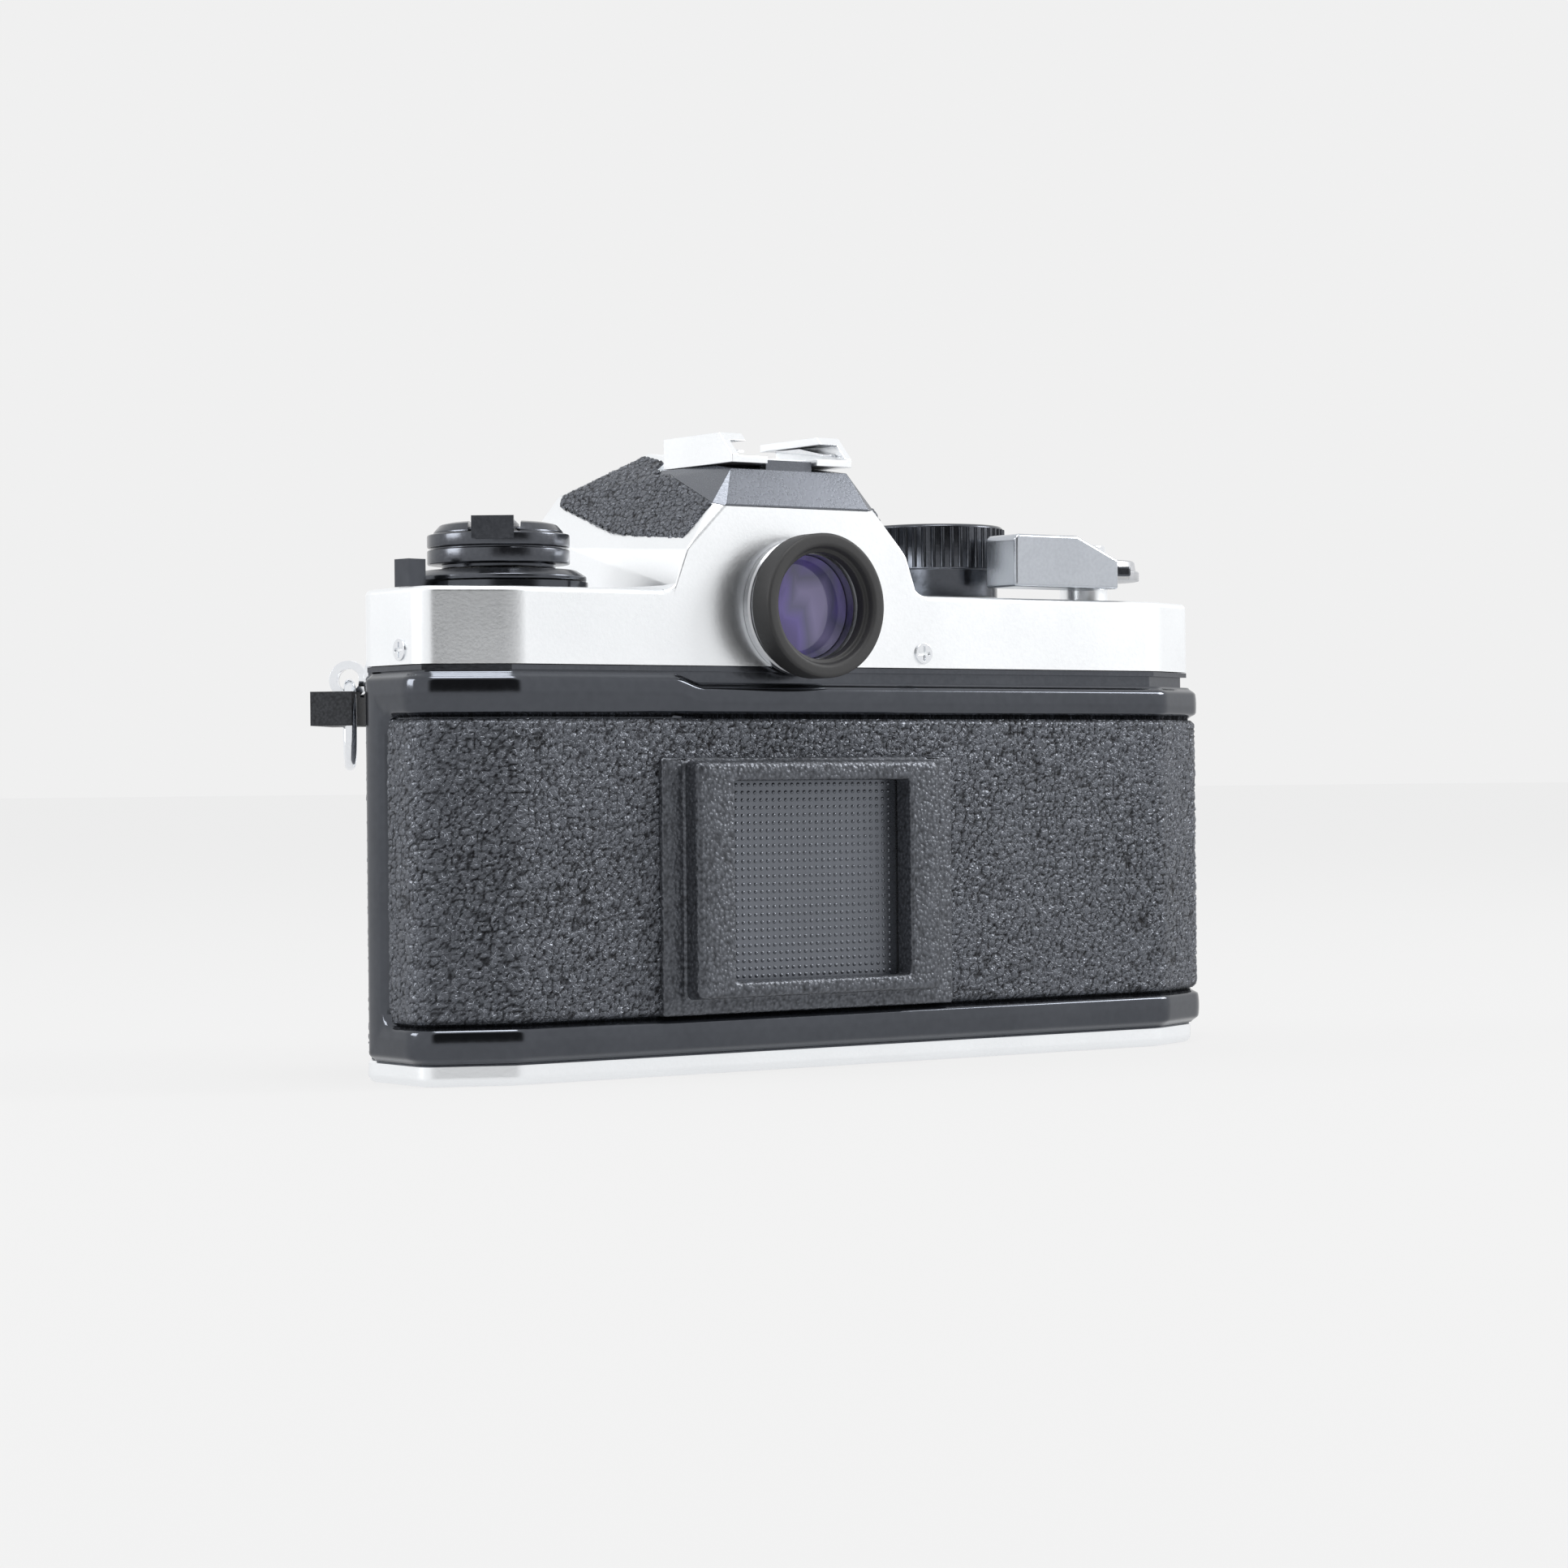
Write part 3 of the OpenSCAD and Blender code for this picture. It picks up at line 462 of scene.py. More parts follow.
# Cut-off corners at the rear, then at the front
FACET_DX, FACET_DY = 11.5, 5.2
FRONT_FACET_Y, FRONT_FACET_DX = -4.2, 10.3
DOOR_FRONT = -2.2
CORNERS = [
    (LEFT, FRONT_FACET_Y), (LEFT, REAR - FACET_DY), (LEFT - FACET_DX, REAR), (RIGHT + FACET_DX, REAR),
    (RIGHT, REAR - FACET_DY), (RIGHT, FRONT_FACET_Y), (RIGHT + FRONT_FACET_DX, FRONT),
    (LEFT - FRONT_FACET_DX, FRONT)]


def path_points(corners, radius, step, closed):
    """Evenly spaced points and outward normals along a polyline with rounded corners, walked anticlockwise."""
    pts = [Vector(c) for c in corners]
    n = len(pts)
    dense = []
    for i in range(n):
        if not closed and i in (0, n - 1):
            dense.append(pts[i])
            continue
        here = pts[i]
        a, b = (pts[i - 1] - here).normalized(), (pts[(i + 1) % n] - here).normalized()
        half = a.angle(b) / 2
        reach = radius / math.tan(half)
        middle = here + (a + b).normalized() * radius / math.sin(half)
        start, end = here + a * reach - middle, here + b * reach - middle
        turn = start.angle(end)
        side = 1 if start.x * end.y - start.y * end.x > 0 else -1
        for k in range(9):
            angle = side * turn * k / 8
            c, s = math.cos(angle), math.sin(angle)
            dense.append(middle + Vector((start.x * c - start.y * s, start.x * s + start.y * c)))
    if closed:
        dense.append(dense[0])
    dense = np.array([tuple(p) for p in dense])
    run = np.concatenate([[0], np.cumsum(np.linalg.norm(np.diff(dense, axis=0), axis=1))])
    count = max(int(round(run[-1] / step)), 2)
    at = np.linspace(0, run[-1], count + 1)
    xy = np.stack([np.interp(at, run, dense[:, k]) for k in (0, 1)], axis=1)
    ahead = np.gradient(xy, axis=0)
    if closed:
        ahead[0] = ahead[-1] = xy[1] - xy[-2]
    normal = np.stack([ahead[:, 1], -ahead[:, 0]], axis=1)
    normal /= np.linalg.norm(normal, axis=1)[:, None]
    if closed:
        xy, normal, at = xy[:-1], normal[:-1], at[:-1]
    return xy, normal, at


def laid(path, offset, height):
    """Points at offset from a path, at the given heights: arrays of the same shape (along, up)."""
    xy, normal = path[:2]
    flat = xy[:, None, :] + normal[:, None, :] * offset[..., None]
    return np.concatenate([flat, height[..., None]], axis=-1)


def loft(name, rings, closed=True, sharp=35):
    """A closed solid from a grid of points: rings[i] is one closed section. An open row of them gets ends."""
    rings = np.asarray(rings)
    m, n = rings.shape[:2]
    faces = [(i * n + k, i * n + (k + 1) % n, ((i + 1) % m) * n + (k + 1) % n, ((i + 1) % m) * n + k)
             for i in range(m if closed else m - 1) for k in range(n)]
    if not closed:
        faces += [tuple(range(n)), tuple(range(m * n - 1, (m - 1) * n - 1, -1))]
    return mesh_piece(name, rings.reshape(-1, 3), faces, sharp)


def smooth(value, low, high):
    """0 below low, 1 above high, with soft ends."""
    t = np.clip((value - low) / (high - low), 0, 1)
    return t * t * (3 - 2 * t)


def grain_height(u, v, size, seed=3):
    """Leather pebbles over a flat chart in millimetres: 0 in the creases, up to 1 on the pebbles."""
    rng = np.random.default_rng(seed)
    cells = 64
    jitter = rng.random((cells, cells, 2))
    depth = rng.random((cells, cells))
    warp = rng.random((6, 4)) * 2 * math.pi
    du = sum(np.sin(u * (0.9 + 0.31 * k) / size + v * (0.5 - 0.23 * k) / size + warp[k, 0]) for k in range(6))
    dv = sum(np.sin(v * (0.8 + 0.29 * k) / size - u * (0.6 - 0.27 * k) / size + warp[k, 1]) for k in range(6))
    a, b = (u + 0.10 * size * du) / size, (v + 0.10 * size * dv) / (0.86 * size)
    ia, ib = np.floor(a).astype(int), np.floor(b).astype(int)
    nearest = np.full(a.shape, 9.0)
    second = np.full(a.shape, 9.0)
    level = np.zeros(a.shape)
    for x in (-1, 0, 1):
        for y in (-1, 0, 1):
            cx, cy = (ia + x) % cells, (ib + y) % cells
            far = np.hypot(ia + x + jitter[cx, cy, 0] - a, ib + y + jitter[cx, cy, 1] - b)
            closer = far < nearest
            second = np.where(closer, nearest, np.minimum(second, far))
            level = np.where(closer, depth[cx, cy], level)
            nearest = np.where(closer, far, nearest)
    crease = smooth(second - nearest, 0.0, 0.34)
    dome = 1 - np.clip(nearest, 0, 1) ** 2 * 0.45
    return crease * dome * (0.55 + 0.45 * level)


def leather_height(u, v, size, seed=3):
    """Large pebbles broken up by smaller wrinkles."""
    return 0.66 * grain_height(u, v, size, seed) + 0.34 * grain_height(v + 17, u, 0.52 * size, seed + 40)


def store_grain(obj, values):
    """Keeps one grain value for each point of a mesh."""
    attribute = obj.data.attributes.new("grain", "FLOAT", "POINT")
    attribute.data.foreach_set("value", np.asarray(values, dtype=np.float32))
    print(f"{obj.name}: grain on {len(values)} points")


def store_grain_at(obj, points, values):
    """The same for a mesh whose points were merged: each takes the value laid down at its place."""
    known = {tuple(np.round(p, 3)): g for p, g in zip(points.reshape(-1, 3), values.reshape(-1))}
    store_grain(obj, [known.get(tuple(np.round(np.array(v.co) / MM, 3)), 0.5) for v in obj.data.vertices])


# %% [markdown]
# ## The back door
# The door is one pressed and enamelled pan. Its rails stand proud of the leather and turn into each other
# round a soft-cornered opening. Bevels on a boolean would break at the step in the top rail, so the door is a
# single surface: its distance from the outline is a smooth function of the place on it.

# %% Door rails
# OUT and IN are distances from the outline. The top rail rises by a step between STEP_FROM and STEP_TO.
door_low, door_high = box_mm("back_door")
RAIL_OUT = door_high[1] - REAR
SEAT_OUT = 0.45
PAN_IN = -0.3
RAIL_TOP, STEP_TOP = 54.5, door_high[2]
STEP_FROM, STEP_TO = 17.2, 22.4
OPENING_Z = (8.1, 49.9)
OPENING_IN = 5.2
OPENING_R = 2.2
RAIL_CROWN = 0.30
DOOR_CORNERS = [(LEFT, DOOR_FRONT), *CORNERS[1:5], (RIGHT, DOOR_FRONT)]
DOOR_ROUND, DOOR_STEP = 3.2, 0.45
door_path = path_points(DOOR_CORNERS, DOOR_ROUND, DOOR_STEP, closed=False)
door_x = door_path[0][:, 0]
door_run = door_path[2]
door_length = door_run[-1]


def opening_depth(u, z, grow=0.0):
    """Distance inside the soft-cornered opening of the door, negative on the rails."""
    half_u, half_z = door_length / 2 - OPENING_IN + grow, (OPENING_Z[1] - OPENING_Z[0]) / 2 + grow
    du = np.abs(u - door_length / 2) - half_u + OPENING_R
    dz = np.abs(z - sum(OPENING_Z) / 2) - half_z + OPENING_R
    outside = np.hypot(np.maximum(du, 0), np.maximum(dz, 0)) + np.minimum(np.maximum(du, dz), 0)
    return OPENING_R - outside


def door_piece():
    """Rails, opening and seat as one surface, closed by a flat back."""
    top = RAIL_TOP + (STEP_TOP - RAIL_TOP) * smooth(door_x, STEP_FROM, STEP_TO)
    bottom = door_low[2]
    edge = np.concatenate([np.linspace(0, 1.4, 9), np.linspace(1.8, 3.4, 5), np.linspace(3.6, 7.2, 14)])
    middle = np.linspace(OPENING_Z[0] + 3.2, OPENING_Z[1] - 3.2, 26)
    low_rows = bottom + edge
    rows = []
    for t in top:
        high_rows = t - edge[::-1] * (t - OPENING_Z[1] + 2.6) / 7.2
        rows.append(np.concatenate([low_rows, middle, high_rows]))
    z = np.array(rows)
    u = np.repeat(door_run[:, None], z.shape[1], axis=1)
    to_edge = np.minimum(z - bottom, top[:, None] - z)
    to_end = np.minimum(u, door_length - u)
    crown = 0.9 * (1 - smooth(to_edge, 0, 1.3)) ** 2 + 0.9 * (1 - smooth(to_end, 0, 1.2)) ** 2
    rail = np.clip(np.minimum(to_edge, to_end) / OPENING_IN, 0, 1)
    crown += RAIL_CROWN * (2 * rail - 1) ** 2
    sink = smooth(opening_depth(u, z), -0.75, 0.1) ** 1.5
    off = RAIL_OUT - np.minimum(crown, 1.3) - (RAIL_OUT - SEAT_OUT) * sink
    front = laid(door_path, off, z)
    back = laid(door_path, np.full((len(u), 2), PAN_IN), np.stack([top, np.full_like(top, bottom)], axis=1))
    return loft("door_rails", np.concatenate([front, back], axis=1), closed=False, sharp=50)


dress(door_piece(), "door", "gloss_black", "back_door")

# %% Door leather
LEATHER_GAP = 0.35
LEATHER_STEP = 0.27
PEBBLE = 1.15
leather_path = path_points(DOOR_CORNERS, DOOR_ROUND, LEATHER_STEP, closed=False)


def with_back(path, front, offset, z):
    """Sections of a sheet: its front points, then two back points at the given offset."""
    count = len(path[2])
    back = laid(path, np.full((count, 2), offset), np.repeat([[z[-1], z[0]]], count, axis=0))
    return np.concatenate([front, back], axis=1)


def leather_on_door():
    """Leather inside the opening, its edge tucked under and its face lifted by the grain."""
    run = leather_path[2]
    inside = (run > OPENING_IN + LEATHER_GAP) & (run < door_length - OPENING_IN - LEATHER_GAP)
    path = tuple(part[inside] for part in leather_path)
    z = np.arange(OPENING_Z[0] + LEATHER_GAP, OPENING_Z[1] - LEATHER_GAP + 0.01, LEATHER_STEP)
    u, h = np.meshgrid(path[2], z, indexing="ij")
    deep = opening_depth(u, h, -LEATHER_GAP)
    grain = leather_height(u, h, PEBBLE)
    off = SEAT_OUT + 0.05 + 0.45 * smooth(deep, -0.1, 0.7) + 0.36 * grain * smooth(deep, 0, 0.6)
    front = laid(path, off, h)
    rings = with_back(path, front, SEAT_OUT - 0.2, z)
    obj = loft("door_leather_grain", rings, closed=False, sharp=180)
    values = np.zeros(rings.shape[:2])
    values[:, :len(z)] = grain
    store_grain_at(obj, rings, values)
    return obj


dress(leather_on_door(), "door", "leatherette", "door_leather")

# %% [markdown]
# ## The memo holder
# A moulded frame holds a film-box end against a spring plate. The frame is two soft-edged steps round a
# window, so it is lofted: one closed section carried round a rounded rectangle. The plate's grid of small
# bumps is a rule, so Geometry Nodes lay it out: a grid of points, a low dome on each, all made real.

# %% Memo frame
frame_low, frame_high = box_mm("memo_frame")
plate_low, plate_high = box_mm("memo_plate")
MEMO_X, MEMO_Z = (-21.3, 21.3), (10.6, 43.6)
WINDOW_X, WINDOW_Z = (-15.8, 14.8), (12.9, 40.8)


def rounded_rect(x, z, radius, steps=6):
    """Points round a rectangle with rounded corners, the same number for every size."""
    out = []
    for cx, cz, turn in ((x[1], z[1], 0), (x[0], z[1], 1), (x[0], z[0], 2), (x[1], z[0], 3)):
        sx, sz = (1, -1, -1, 1)[turn], (1, 1, -1, -1)[turn]
        middle = (cx - sx * radius, cz - sz * radius)
        for k in range(steps + 1):
            a = math.pi / 2 * (turn + k / steps)
            out.append((middle[0] + radius * math.cos(a), middle[1] + radius * math.sin(a)))
    return np.array(out)


def ring_of(x, z, radius, depth):
    """One section of the frame: a rounded rectangle at a depth."""
    ring = rounded_rect(x, z, radius)
    return np.stack([ring[:, 0], np.full(len(ring), depth), ring[:, 1]], axis=1)


def grown(span, by):
    """A span made longer at both ends."""
    return (span[0] - by, span[1] + by)


def memo_frame():
    """Flange, step, crowned rim and window, from the outside in."""
    back, step, front = frame_low[1], REAR + 1.9, frame_high[1]
    flange_x, flange_z = (frame_low[0], frame_high[0]), (frame_low[2], frame_high[2])
    sections = [(flange_x, flange_z, 0.3, back)]
    for t in (0, 0.35, 0.7, 1.0):
        sections.append((grown(flange_x, -0.35 * t), grown(flange_z, -0.35 * t), 0.5,
                         step - 0.35 * (1 - t) ** 2))
    sections += [(grown(MEMO_X, 0.35), grown(MEMO_Z, 0.35), 1.1, step),
                 (grown(MEMO_X, 0.05), grown(MEMO_Z, 0.05), 1.0, step + 0.25)]
    for k in range(6):
        a = math.pi / 2 * k / 5
        pull = 0.8 * (1 - math.cos(a)) + 0.1
        sections.append((grown(MEMO_X, -pull), grown(MEMO_Z, -pull), 1.2, front - 0.8 + 0.8 * math.sin(a)))
    for k in range(5):
        a = math.pi / 2 * k / 4
        push = 0.5 * (1 - math.sin(a))
        sections.append((grown(WINDOW_X, push), grown(WINDOW_Z, push), 0.6, front - 0.5 * (1 - math.cos(a))))
    sections += [(WINDOW_X, WINDOW_Z, 0.4, plate_high[1] + 0.25),
                 (grown(WINDOW_X, 1.3), grown(WINDOW_Z, 0.8), 0.4, plate_high[1] + 0.2),
                 (grown(WINDOW_X, 1.3), grown(WINDOW_Z, 0.8), 0.4, back + 0.45),
                 (grown(WINDOW_X, -1.5), grown(WINDOW_Z, -1.5), 0.4, back + 0.45),
                 (grown(WINDOW_X, -1.5), grown(WINDOW_Z, -1.5), 0.4, back)]
    rings = np.array([ring_of(*section) for section in sections])
    return loft("memo_frame_moulding", rings, sharp=32)


# %% A leathery stipple for moulded plastic
def stipple_with_painted_glints(name, dark, light, rough, size, height):
    """Moulded plastic with a fine pebbled tool finish, its bump tops painted light as glints and its hollows
    painted dark as shade; size and height in millimetres.
    """
    tree, place = new_finish(name)
    cells = add(tree, "ShaderNodeTexVoronoi", {"Vector": place, "Scale": 1000.0 / size}, feature="SMOOTH_F1")
    dust = add(tree, "ShaderNodeTexNoise", {"Vector": place, "Scale": 2600.0, "Detail": 3.0})
    both = add(tree, "ShaderNodeMix", {"Factor": 0.35, "A": cells.outputs["Distance"], "B": dust.outputs[0]})
    # Painted glints and shade: light where the stipple stands up, dark in its hollows.
    colour = ramp(tree, both.outputs[0], [(0.15, light), (0.75, dark)])
    principled(tree, Base_Color=colour, Roughness=rough, Metallic=0.7,
               Normal=relief_of(tree, both.outputs[0], -height))


stipple_with_painted_glints("memo_stipple", (0.030, 0.032, 0.037), (0.150, 0.160, 0.182), 0.36, 0.50, 0.20)
stipple_with_painted_glints("guard_stipple", (0.020, 0.021, 0.023), (0.060, 0.063, 0.070), 0.50, 0.35, 0.05)
dress(memo_frame(), "door", "black_plastic", "memo_frame", look="memo_stipple")


# %% Geometry Nodes helpers
def node_group(name, sizes):
    """An empty Geometry Nodes tree with the named inputs and a geometry output."""
    tree = bpy.data.node_groups.new(name, "GeometryNodeTree")
    tree.interface.new_socket("Geometry", in_out="INPUT", socket_type="NodeSocketGeometry")
    for label, (kind, value) in sizes.items():
        socket = tree.interface.new_socket(label, in_out="INPUT", socket_type=kind)
        if value is not None:
            socket.default_value = value
    tree.interface.new_socket("Geometry", in_out="OUTPUT", socket_type="NodeSocketGeometry")
    return tree, tree.nodes.new("NodeGroupInput"), tree.nodes.new("NodeGroupOutput")


def repeat(tree, points, piece, given, result):
    """Ends a tree: the piece on every point, made real, with the material input on it."""
    copies = add(tree, "GeometryNodeInstanceOnPoints", {"Points": points, "Instance": piece})
    real = add(tree, "GeometryNodeRealizeInstances", {"Geometry": copies.outputs["Instances"]})
    painted = add(tree, "GeometryNodeSetMaterial", {
        "Geometry": real.outputs["Geometry"], "Material": given.outputs["Material"]})
    tree.links.new(painted.outputs["Geometry"], result.inputs["Geometry"])
    return tree


def grow(name, tree, inputs):
    """Runs a node tree with the given named inputs and keeps the result as a plain mesh."""
    obj = bpy.data.objects.new(name, bpy.data.meshes.new(name))
    bpy.context.scene.collection.objects.link(obj)
    step = obj.modifiers.new(name, "NODES")
    step.node_group = tree
    for item in tree.interface.items_tree:
        if item.in_out == "INPUT" and item.name in inputs:
            step[item.identifier] = inputs[item.name]
    settle(obj)
    obj.name = name
    return obj


# %% The dotted spring plate
def dot_grid_tree():
    """Rows and columns of low domes standing on a plane that faces the back of the camera."""
    tree, given, result = node_group("dot_grid", {
        "Columns": ("NodeSocketInt", 27), "Rows": ("NodeSocketInt", 26), "Pitch": ("NodeSocketFloat", 0.001),
        "Dot Radius": ("NodeSocketFloat", 0.0003), "Centre": ("NodeSocketVector", None),
        "Material": ("NodeSocketMaterial", None)})
    gaps = [add(tree, "ShaderNodeMath", {0: given.outputs[n], 1: 1.0}, operation="SUBTRACT")
            for n in ("Columns", "Rows")]
    wide, high = [add(tree, "ShaderNodeMath", {0: gap.outputs[0], 1: given.outputs["Pitch"]},
                      operation="MULTIPLY") for gap in gaps]
    grid = add(tree, "GeometryNodeMeshGrid", {
        "Size X": wide.outputs[0], "Size Y": high.outputs[0],
        "Vertices X": given.outputs["Columns"], "Vertices Y": given.outputs["Rows"]})
    stood = add(tree, "GeometryNodeTransform", {
        "Geometry": grid.outputs["Mesh"], "Translation": given.outputs["Centre"],
        "Rotation": (math.radians(90), 0.0, 0.0)})
    dot = add(tree, "GeometryNodeMeshUVSphere", {
        "Segments": 10, "Rings": 6, "Radius": given.outputs["Dot Radius"]})
    low = add(tree, "GeometryNodeTransform", {"Geometry": dot.outputs["Mesh"], "Scale": (1.0, 0.75, 1.0)})
    return repeat(tree, stood.outputs["Geometry"], low.outputs["Geometry"], given, result)


DOT_PITCH, DOT_R = 1.07, 0.27
DOT_COLUMNS, DOT_ROWS = 27, 26
DOT_SINK = 0.02
plate_middle = Vector((sum(WINDOW_X) / 2, plate_high[1] - DOT_SINK, sum(WINDOW_Z) / 2))
dots = grow("memo_plate_dots", dot_grid_tree(), {
    "Columns": DOT_COLUMNS, "Rows": DOT_ROWS, "Pitch": DOT_PITCH * MM, "Dot Radius": DOT_R * MM,
    "Centre": plate_middle * MM, "Material": FINISH["black_plastic"]})
shade(dots)
dress(dots, "door", "black_plastic", look="cap_plastic")
plate = slab("memo_spring_plate", plate_low, plate_high - np.array([0, DOT_SINK, 0]))
dress(soften(plate, 0.1), "door", "black_plastic", "memo_plate", look="cap_plastic")

# %% [markdown]
# ## The silver covers
# The top cover is cast: a shallow box, a roof over the prism and a name block in front, all flowing into
# each other. It is made as it is drawn on a plan, from three solids that are rounded first and joined
# after, so that each edge has its own round. Where roof meets deck, a concave strip fills the corner as a
# wide fillet.

# %% Top cover
DECK = 67.4
FILLET_R = 2.6
CORNER_ROUND, DECK_ROUND, BLOCK_ROUND, ROOF_ROUND = 2.2, 0.8, 1.2, 1.1
BLOCK_X, BLOCK_Y = 20.8, -23.3
COVER_Z = box_mm("top_cover")[0][2]
ROOF = [(21.3, REAR, DECK - 1), (21.3, REAR, DECK), (19.3, REAR, 73), (12.4, REAR, 79.6), (11.95, 15.4, 79.9),
        (10.15, 13.9, 84.8), (10, 1.2, 84.9), (8, -10, 88.6), (16.4, -21.5, 82.7), (18.4, -23.3, 79),
        (19.5, -23.3, DECK - 1), (20.7, -11.4, 74.6), (20.8, -23.3, DECK - 1)]
EYE_Z = 65.3
EYE_BORE_R, BOSS_R, SHAFT_BORE_R = 8.3, 3.7, 3.0
KNOB, DIAL, WIND = (40.0, 0.0), (-40.5, -5.0), (-67.5, -1.5)


def both_sides(points):
    """The points and their mirror images across the middle of the camera."""
    return [(s * x, y, z) for s in (1, -1) for x, y, z in points]


def split_height(y):
    """Height of the sloping joint between the prism cap and the cover."""
    return 84.6 - 0.361 * (y - 1.2)


def above_split(name, down=0.0):
    """Everything over that joint, lowered by down."""
    front, rear = 1.2, REAR + 4
    return extrude(name, [(front, split_height(front) - down), (rear, split_height(rear) - down), (rear, 100),
                          (-2.2, 100), (-2.2, split_height(front) - down)], -40, 40, axis="X")


def shoe_seat(name):
    """The room over the flat on which the shoe sits."""
    return slab(name, (-40, -3.4, 85.5), (40, REAR + 4, 100))


SHALLOWEST = 12


def round_edges(obj, width, chosen, segments):
    """Rounds the edges for which chosen(edge, middle in millimetres) is true."""
    bm = bmesh.new()
    bm.from_mesh(obj.data)
    bmesh.ops.remove_doubles(bm, verts=bm.verts, dist=0.01 * MM)
    bmesh.ops.dissolve_limit(bm, angle_limit=math.radians(1.5), verts=bm.verts, edges=bm.edges)
    bmesh.ops.recalc_face_normals(bm, faces=bm.faces)
    edges = []
    for edge in bm.edges:
        if len(edge.link_faces) == 2:
            middle = (edge.verts[0].co + edge.verts[1].co) / 2 / MM
            if math.degrees(edge.calc_face_angle(0)) > SHALLOWEST and chosen(edge, middle):
                edges.append(edge)
    bmesh.ops.bevel(bm, geom=edges, offset=width * MM, segments=segments, profile=0.5, affect="EDGES",
                    clamp_overlap=True, miter_outer="ARC", loop_slide=True)
    print(f"{obj.name}: {len(edges)} edges rounded by {width} mm")
    bm.to_mesh(obj.data)
    bm.free()
    return obj


def upright(edge):
    """Whether an edge stands more or less straight up."""
    a, b = edge.verts
    return abs(a.co.z - b.co.z) > 0.9 * (a.co - b.co).length


def fillet_strip(name, side):
    """A concave strip that eases the roof's side into the deck."""
    centre = (23.0, DECK + FILLET_R)
    curve = [(centre[0] - FILLET_R * math.sin(a), centre[1] - FILLET_R * math.cos(a))
             for a in np.linspace(0, math.pi / 2, 9)]
    outline = [(18, DECK - 1), (centre[0], DECK - 1), *curve, (18, DECK + FILLET_R)]
    strip = extrude(name, [(side * x, z) for x, z in outline], FRONT + 3, REAR, axis="Y")
    return round_edges(strip, DECK_ROUND,
                       lambda edge, middle: middle.y > REAR - 0.1 and middle.z > DECK - 0.1, 4)


def cover_solid():
    """Deck, name block and roof, joined and hollowed, with the bores for eyepiece and shafts."""
    deck = extrude("cast_top_cover", CORNERS, COVER_Z, DECK)
    round_edges(deck, CORNER_ROUND, lambda edge, middle: upright(edge), 8)
    round_edges(deck, DECK_ROUND, lambda edge, middle: middle.z > DECK - 0.1 and not upright(edge), 5)
    block = slab("name_block", (-BLOCK_X, BLOCK_Y, COVER_Z), (BLOCK_X, FRONT + 2, DECK - 0.4))
    round_edges(block, BLOCK_ROUND, lambda edge, middle: upright(edge) and middle.y < FRONT, 6)
    combine(deck, block, "UNION")
    roof = hull("roof", both_sides(ROOF))
    combine(roof, above_split("split"))
    combine(roof, shoe_seat("seat"))
    round_edges(roof, ROOF_ROUND, lambda edge, middle: DECK + 0.2 < middle.z < 84
                and (middle.y < -2 or middle.z < split_height(middle.y) - 0.3), 5)
    combine(deck, roof, "UNION")
    for side in (1, -1):
        combine(deck, fillet_strip("fillet", side), "UNION")
    combine(deck, hull("hollow", [(x * 0.88, y * 0.88 - 0.3, z - (4.5 if z > 70 else 30))
                                  for x, y, z in both_sides(ROOF)]))
    bore = [(0, 0), (EYE_BORE_R, 0), (EYE_BORE_R, 30), (0, 30)]
    combine(deck, turned("bore", bore, (0, EYE_Z), axis="Y"))
    for at in (KNOB, WIND):
        boss = [(0, 60), (BOSS_R, 60), (BOSS_R, 70.2), (0, 70.2)]
        combine(deck, turned("boss", boss, at), "UNION")
        combine(deck, turned("bore", [(0, 50), (SHAFT_BORE_R, 50), (SHAFT_BORE_R, 80), (0, 80)], at))
    return deck


cover = cover_solid()
shade(cover, 32)
even_normals(cover)
dress(cover, ROOT, "satin_silver", "top_cover")

# %% Base plate: one section carried round the outline
BASE_ROUND, BASE_STEP = 2.6, 0.8
BASE_HOLES = {"tripod": ((0, 0), 6.6), "battery": ((24, -2), 9.45), "rewind release": ((-27.5, 5.8), 2.55),
              "motor drive": ((-56, -6), 4.15)}
whole_path = path_points(CORNERS, BASE_ROUND, BASE_STEP, closed=True)


def plate_with_rim():
    """A pressed tray with a rolled lower edge and round holes."""
    height = base_high[2]
    rim = [(-1.2, 1.2), (-1.2, height), (-0.25, height), (0, height - 0.25), (0, 1.3)]
    rim += [(-1.1 * (1 - math.cos(math.pi / 2 * k / 5)),
             1.1 - 1.1 * math.sin(math.pi / 2 * k / 5)) for k in range(6)]
    m, n = len(whole_path[0]), len(rim)
    offset, level = (np.repeat(np.array(rim)[None, :, k], m, axis=0) for k in (0, 1))
    rings = laid(whole_path, offset, level)
    faces = [(i * n + k, i * n + k + 1, ((i + 1) % m) * n + k + 1, ((i + 1) % m) * n + k)
             for i in range(m) for k in range(n - 1)]
    faces.append(tuple(i * n for i in range(m)))
    faces.append(tuple(i * n + n - 1 for i in reversed(range(m))))
    obj = mesh_piece("base_pressing", rings.reshape(-1, 3), faces)
    for at, radius in BASE_HOLES.values():
        combine(obj, turned("hole", [(0, -3), (radius, -3), (radius, 5), (0, 5)], at))
    shade(obj)
    return obj


dress(plate_with_rim(), ROOT, "satin_silver", "base_plate")

# %% [markdown]
# ## Small machined parts
# Buttons, caps, rings and plates already have the right shape in the frame. What they lack is a soft edge,
# and an edge is what catches the light. A merged copy of the node gets a small bevel and even normals. The
# nodes themselves are loose triangles, which have no shared edges to round.

# %% Softened copies of frame nodes
BODY_OF = {n: body for body, names in frame["record"]["behaviour"]["bodies"].items() for n in names}
SLOT_OF = {entry["node"]: entry["material_slot"] for entry in frame["record"]["subparts"]}


